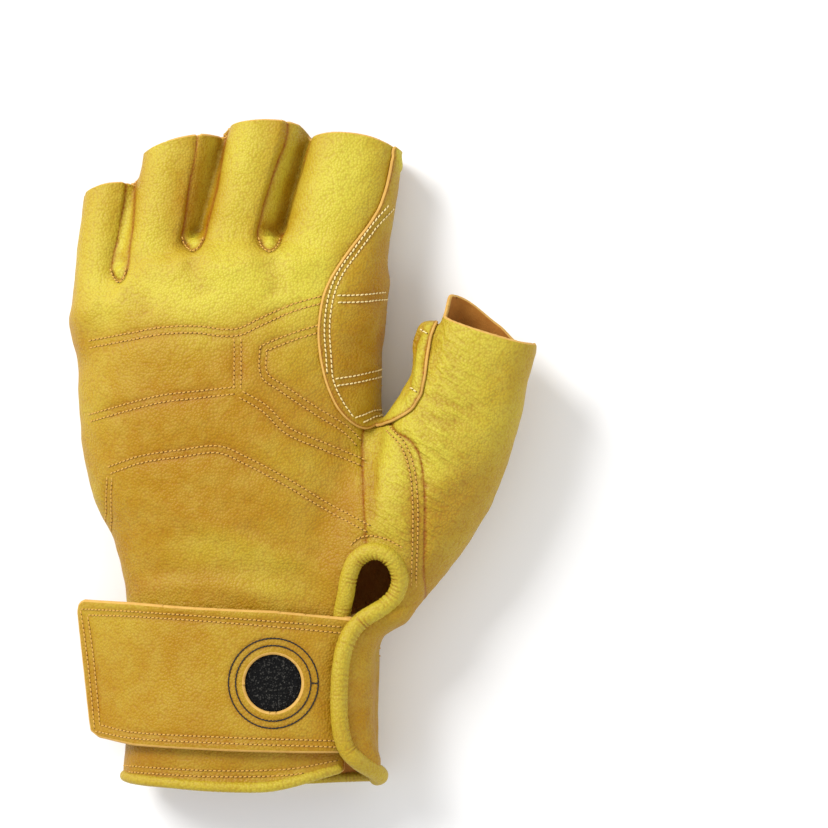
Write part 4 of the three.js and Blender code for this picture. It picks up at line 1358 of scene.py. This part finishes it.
def tube(points, radius):
    """A rolled edge along a line, gathered finely on the inner side of its bends, and its ends closed."""
    points = evenly(smooth_line(points), TUBE_STEP)
    way = np.gradient(points, axis=0)
    way /= np.linalg.norm(way, axis=1)[:, None]
    side = np.cross(way[0], [0, 0, 1.0])
    across = []
    for w in way:
        side = side - (side @ w) * w
        side /= np.linalg.norm(side)
        across.append(side)
    across = np.array(across)
    up = np.cross(across, way)
    turn = np.arange(TUBE_SIDES) / TUBE_SIDES * 2 * math.pi
    draw = np.random.default_rng(TUBE_SEED)
    run = np.arange(len(points)) * TUBE_STEP
    ring = np.cos(turn)[None, :, None] * across[:, None] + np.sin(turn)[None, :, None] * up[:, None]
    bend = np.gradient(way, TUBE_STEP, axis=0)
    inner = np.clip((ring * bend[:, None]).sum(2) * 9, 0, 1.2)
    pleat = np.zeros((len(points), TUBE_SIDES))
    for _ in range(8):
        pitch, phase = draw.uniform(1.1, 2.2), draw.uniform(0, 6.3)
        pleat += np.sin(run * 2 * math.pi / pitch + phase)[:, None] / 3
    pleat *= GATHERS + BEND_GATHERS * inner
    size = radius * (1 + pleat)
    from_end = np.minimum(np.arange(len(points)), np.arange(len(points))[::-1]) * TUBE_STEP
    rounded = np.clip(from_end / radius, 0.02, 1)
    size *= np.sqrt(rounded * (2 - rounded))[:, None]
    surface = points[:, None] + size[..., None] * ring
    index = np.arange(size.size).reshape(size.shape)
    a, b = index[:-1], index[1:]
    faces = [split(a, np.roll(a, -1, 1), np.roll(b, -1, 1), b)]
    for row, turned_round in ((index[0], True), (index[-1], False)):
        fan = np.stack([np.repeat(row[0], TUBE_SIDES - 2), row[1:-1], row[2:]], 1)
        faces.append(fan[:, ::-1] if turned_round else fan)
    shade = np.clip(0.25 * inner - 9 * pleat, 0, 0.7)
    return above_floor(surface.reshape(-1, 3)), np.vstack(faces), shade.reshape(-1)


def on_wrist(angle, along, lift):
    """A place on the wrist's skin at an angle above level, seen from the cuff's axis."""
    outwards = np.array([math.cos(math.radians(angle)), 0, math.sin(math.radians(angle))])
    origin = np.array([CUFF_AXIS, HEM_Y + along * BODY_LENGTH, SEAM_Z]) + 120 * outwards
    return cast(skin_tree, origin, -outwards)[0] + lift * outwards


edge_points = [on_wrist(angle, along, lift * FLAP_LIFT - LEATHER / 2) for angle, along, lift in ROLL]


def hem_points():
    """The line of the cuff's roll, round its end and short of the flap."""
    _, ulnar, radial, back = HAND_SECTIONS[0]
    centre, half = (radial - ulnar) / 2 * HALF_WIDTH, (radial + ulnar) / 2 * HALF_WIDTH - LEATHER / 2
    above, below = back * PALM_DEPTH - SEAM_Z - LEATHER / 2, SEAM_Z + 1 - LEATHER / 2
    angle = np.radians(np.linspace(0, -318, 60))
    x = centre + half * np.sign(np.cos(angle)) * np.abs(np.cos(angle)) ** (2 / HAND_POWER)
    v = np.sign(np.sin(angle)) * np.abs(np.sin(angle)) ** (2 / HAND_POWER)
    z = np.maximum(SEAM_Z + v * np.where(v > 0, above, below), HEM_RADIUS + 0.1)
    y = HEM_Y + ((x - ARCH_CENTRE) / HALF_WIDTH) ** 2 * HEM_ARCH + hem_rise(x, z)
    return np.stack([x, y, z], axis=1)


for edge, line, radius in (("flap", edge_points, BINDING_RADIUS), ("hem", hem_points(), HEM_RADIUS)):
    points, faces, shade = tube(line, radius)
    looks = {"crease": shade, "pale": np.full(len(points), ROLL_PALE)}
    parts[edge + "_binding"] = add_mesh(edge + "_roll", points, faces, LEATHERS[:1], columns=looks)


# The strap over the cuff, its window and its woven patches

# In plan: across in HALF_WIDTH, along in BODY_LENGTH
STRAP_OUTLINE = [
    (-0.905, 0.12), (-0.895, 0.105), (-0.84, 0.095), (-0.6, 0.086), (0.8, 0.077), (0.8, 0.25),
    (0.77, 0.316), (0.3, 0.33), (-0.2, 0.335), (-0.6, 0.341), (-0.96, 0.342), (-0.99, 0.335),
    (-1.0, 0.322),
]
LOOP_OUTLINE = [(-0.15, 0.1), (0.7, 0.085), (0.7, 0.305), (-0.15, 0.315)]
STRAP_WINDOW = at(0.297, 0.202)
STRAP_LEAVES = -0.46 * HALF_WIDTH  # where the strap leaves the cuff
STRAP_CURL = 0.006  # how fast its free end curls down, per mm
STRAP_TOP = -25.0  # all of it lies on the cuff's side of this
EDGE_RISE = 0.35  # how much fuller the strap is just inside its edge
EDGE_INSET = 1.2
SHEET_PITCH = 0.8
WINDOW_ROWS = (12.0, 14.3)  # radii
# Rows along the strap's edges, in pixels of the photo
STRAP_ROWS = [
    [(81, 609), (140, 612), (240, 619), (343, 627)],
    [(88, 615), (140, 617), (240, 624), (342, 633)],
    [(81, 610), (88, 660), (95, 729)],
    [(88, 616), (94, 660), (100, 724)],
    [(95, 731), (140, 739), (240, 744), (338, 747)],
    [(101, 725), (140, 733), (240, 738), (338, 741)],
]


def strap_height(level):
    """The height over a place of what lies on the cuff at a level above its skin."""
    on_back = (skin["normal"][:, 2] > 0) & (skin["point"][:, 1] < STRAP_TOP)
    tree = tree_of(skin["point"] + level * skin["normal"], skin_faces[on_back[skin_faces].all(1)])

    def height(x, y):
        hit = cast(tree, (x, y, ABOVE), (0, 0, -1))[0]
        return SEAM_Z if hit is None else hit[2]

    return height


def over_cuff(level):
    """A sheet over the cuff at a level above its skin, which leaves it at the free end and curls down."""
    height = strap_height(level)
    slope = (height(STRAP_LEAVES + 4, STRAP_WINDOW[1]) - height(STRAP_LEAVES, STRAP_WINDOW[1])) / 4
    xs = np.arange(-HALF_WIDTH, 44.0, SHEET_PITCH)
    ys = np.arange(at(0, 0.05)[1], at(0, WRIST_TOP)[1], SHEET_PITCH)
    points = []
    for y in ys:
        for x in xs:
            past = max(STRAP_LEAVES - x, 0)
            points.append((x, y, height(max(x, STRAP_LEAVES), y) - past * (slope + STRAP_CURL * past)))
    index = np.arange(len(points)).reshape(len(ys), len(xs))
    return np.array(points), split(index[:-1, :-1], index[:-1, 1:], index[1:, 1:], index[1:, :-1])


def circle_line(radius):
    turn = np.linspace(0, 2 * math.pi, 90)
    return STRAP_WINDOW + radius * np.stack([np.cos(turn), np.sin(turn)], axis=1)


def from_window(points):
    """Distance in plan from the middle of the strap's window."""
    return np.hypot(points[:, 0] - STRAP_WINDOW[0], points[:, 1] - STRAP_WINDOW[1])


strap_points, strap_faces = over_cuff(STRAP_BED + STRAP_THICKNESS)
strap_tree = tree_of(strap_points, strap_faces)
strap_outline = area_field(outline(STRAP_OUTLINE), strap_points[:, 0], strap_points[:, 1])
window = STRAP_HOLE / 2 + ROUND_RIM - from_window(strap_points)
strap_rows = [photo_line(strap_tree, row) for row in STRAP_ROWS]
ring_rows = [plan_line(strap_tree, circle_line(radius), below=False) for radius in WINDOW_ROWS]
tick = [STRAP_WINDOW + np.array([radius, 0]) for radius in WINDOW_ROWS]
ring_rows.append(plan_line(strap_tree, tick, below=False))
strap_relief = waves(strap_points, *STRAP_SWELL)
# Painted shade in the dips along the strap's rows of stitches
strap_stitch_shade = np.zeros(len(strap_points))
for row in strap_rows + ring_rows:
    reach = line_reach(strap_points, [hit[0] for hit in row][::3], STITCH_DIP)
    strap_relief -= 0.3 * reach
    strap_stitch_shade = np.maximum(strap_stitch_shade, 0.3 * reach)
strap_relief += EDGE_RISE * np.exp(-((strap_outline + EDGE_INSET) / EDGE_INSET) ** 2)
UPRIGHT = np.array([0, 0, 1.0])
table, faces = clip(
    {"point": strap_points + strap_relief[:, None] * UPRIGHT, "crease": strap_stitch_shade},
    strap_faces,
    keep(strap_outline, window),
)
points, faces, kinds, looks = thicken(
    table["point"], faces, STRAP_THICKNESS, DOUBLE_EDGE, {"crease": table["crease"]}
)
kinds[kinds == INSIDE] = OUTSIDE  # the strap shows grain leather on both sides
parts["wrist_strap"] = add_mesh("strap_leather", points, faces, LEATHERS, kinds, looks)


def woven(name, sheet, field, wall):
    """A woven piece from a sheet over the cuff, where a field is inside."""
    points, faces = sheet
    table, faces = clip({"point": points}, faces, field(points))
    points, faces, _, _ = thicken(table["point"], faces, wall)
    return add_mesh(name, points, faces, [WEAVE])


def disc_field(points):
    return from_window(points) - STRAP_HOLE / 2 + SEAM_GAP


def loop_field(points):
    return area_field(outline(LOOP_OUTLINE), *points.T[:2])


hook_sheet, loop_sheet = over_cuff(STRAP_BED + HOOK_THICKNESS), over_cuff(SEAM_GAP + LOOP_THICKNESS)
parts["strap_hook_patch"] = woven("window_weave", hook_sheet, disc_field, HOOK_THICKNESS)
parts["cuff_loop_patch"] = woven("cuff_weave", loop_sheet, loop_field, LOOP_THICKNESS)


# Stitches

# How a thread's stitch and a needle's hole swell along their run: place in the length, and width
THREAD_FORM = [(-0.5, 0.25), (-0.36, 0.85), (0.0, 1.0), (0.36, 0.85), (0.5, 0.25)]
HOLE_FORM = [(-0.5, 0.5), (0.0, 1.0), (0.5, 0.5)]


def stitches(name, rows, material, pitch, length, width, shown=0.12, start=0.5, form=THREAD_FORM):
    """Short raised threads along rows of places and normals; the first is at a share of the pitch."""
    corners = len(form) + 1
    turn = np.arange(corners) / corners * 2 * math.pi
    shape = []
    for along, size in form:
        half = size * (width / 2)
        shape += [(along * length, half * math.cos(a), half * math.sin(a)) for a in turn]
    shape = np.array(shape)
    index = np.arange(len(form) * corners).reshape(len(form), corners)
    template = []
    for low, high in zip(index, index[1:]):
        for k in range(corners):
            m = (k + 1) % corners
            template += [(low[k], high[k], high[m]), (low[k], high[m], low[m])]
    for ring, flip in ((index[0], False), (index[-1], True)):
        for k in range(1, corners - 1):
            template.append((ring[0], ring[k + 1], ring[k]) if flip else (ring[0], ring[k], ring[k + 1]))
    template = np.array(template)[:, ::-1]
    places, ways, ups = [], [], []
    for spots, normals in rows:
        run = np.concatenate([[0], np.cumsum(np.linalg.norm(np.diff(spots, axis=0), axis=1))])
        stops = np.arange(start * pitch, run[-1], pitch)
        even = np.stack([np.interp(stops, run, spots[:, k]) for k in range(3)], 1)
        up = np.stack([np.interp(stops, run, normals[:, k]) for k in range(3)], 1)
        if len(even) < 2:
            continue
        places.append(even)
        ways.append(np.gradient(even, axis=0))
        ups.append(up)
    places, ways, ups = np.vstack(places), np.vstack(ways), np.vstack(ups)
    ups /= np.linalg.norm(ups, axis=1)[:, None]
    sides = np.cross(ups, ways)
    sides /= np.linalg.norm(sides, axis=1)[:, None] + 1e-9
    ways = np.cross(sides, ups)
    draw = np.random.default_rng(len(places))
    slant = draw.normal(0.12, 0.05, len(places))[:, None]
    ways, sides = ways + slant * sides, sides - slant * ways
    centre = places + shown * ups
    along, beside_it, above = (shape[None, :, k : k + 1] for k in range(3))
    points = centre[:, None] + along * ways[:, None] + beside_it * sides[:, None] + above * ups[:, None]
    faces = template[None] + (np.arange(len(places)) * len(shape))[:, None, None]
    add_mesh(name, above_floor(points.reshape(-1, 3)), faces.reshape(-1, 3), [material])


def stitched(lines):
    """Rows of the hand as places and normals on its finished leather."""
    rows = []
    for (places, normals, index), second in lines:
        level = skin["relief"][index] + np.where(second & (skin["patch"][index] < 0), PATCH_LEVEL, 0)
        rows.append((places + level[:, None] * normals, normals))
    return rows


first_layer = [entry for entry in stitch_lines if not entry[1]]
second_layer = [entry for entry in stitch_lines if entry[1]]
fine = {"pitch": 1.5, "length": 1.12, "width": 0.48}
hole = {"length": 0.42, "width": 0.4, "shown": 0.0, "start": 1.0, "form": HOLE_FORM}
stitches("back_stitches", stitched(first_layer), TAN_THREAD, **fine)
stitches("patch_stitches", stitched(second_layer), CREAM_THREAD, pitch=1.6, length=1.3, width=0.52)
# The needle holes are painted shade, as dark discs at each stitch's ends
stitches("back_needle_holes", stitched(first_layer), HOLE_SHADE, pitch=1.5, **hole)
stitches("patch_needle_holes", stitched(second_layer), HOLE_SHADE, pitch=1.6, **hole)


def strap_stitched(rows):
    """Rows of the strap as places and normals on its finished leather."""
    lines = []
    for row in rows:
        level = np.array([strap_relief[strap_faces[face]].mean() for _, _, face in row])
        places = np.array([place for place, _, _ in row]) + level[:, None] * UPRIGHT
        lines.append((places, np.array([normal * math.copysign(1, normal[2]) for _, normal, _ in row])))
    return lines


stitches("strap_stitches", strap_stitched(strap_rows), TAN_THREAD, **fine)
# The strap's needle holes are painted shade too
stitches("strap_needle_holes", strap_stitched(strap_rows), HOLE_SHADE, pitch=1.5, **hole)
stitches("window_stitches", strap_stitched(ring_rows), BLACK_THREAD, pitch=1.2, length=1.3, width=0.48)


# Attach the pieces to the root body, and hide the CAD parts of their names

SLOTS = {
    "hand_leather": ("back_panel", "palm_panel", "thumb", *("fork_" + name for name in FORKS)),
    "patch_leather": ("palm_patch",),
    "edge_leather": ("hem_binding", "flap_binding"),
    "strap_leather": ("wrist_strap",),
    "fastener": ("strap_hook_patch", "cuff_loop_patch"),
}
for slot, names in SLOTS.items():
    for name in names:
        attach(parts[name], "root")
        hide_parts(name)
for made in list(bpy.data.objects):
    if made.name.endswith(("_stitches", "_needle_holes")):
        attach(made, "root")

# The stage

bpy.ops.mesh.primitive_plane_add(size=6.0, location=(0, 0, 0))
floor = bpy.context.object
floor.name = "floor"
floor.data.materials.append(Finish("pale_floor", Base_Color=linear(248, 248, 248), Roughness=0.9).material)


def soft_light(name, place, size, watts):
    lamp = bpy.data.lights.new(name, "AREA")
    lamp.size, lamp.energy = size, watts
    made = bpy.data.objects.new(name, lamp)
    made.location = place
    made.rotation_euler = (Vector((0.02, 0.0, 0.0)) - Vector(place)).to_track_quat("-Z", "Y").to_euler()
    bpy.context.collection.objects.link(made)


soft_light("key", (-0.7, 0.75, 0.9), size=0.6, watts=18)
soft_light("fill", (0.9, -0.6, 0.9), size=0.9, watts=4)
world = bpy.data.worlds.new("studio")
world.use_nodes = True
world.node_tree.nodes["Background"].inputs["Color"].default_value = (1, 1, 1, 1)
world.node_tree.nodes["Background"].inputs["Strength"].default_value = 0.7
bpy.context.scene.world = world
bpy.context.scene.view_settings.view_transform = "Standard"

lens = bpy.data.cameras.new("camera")
lens.sensor_width = SENSOR
lens.lens = SENSOR * VIEW_DISTANCE / PHOTO_SPAN
lens.clip_end = 20
camera = bpy.data.objects.new("camera", lens)
camera.matrix_world = Matrix.LocRotScale(
    Vector(CAMERA * MM), Matrix(np.stack([CAMERA_RIGHT, [0, 1, 0], TOWARDS_CAMERA], axis=1).tolist()), None
)
bpy.context.collection.objects.link(camera)
bpy.context.scene.camera = camera
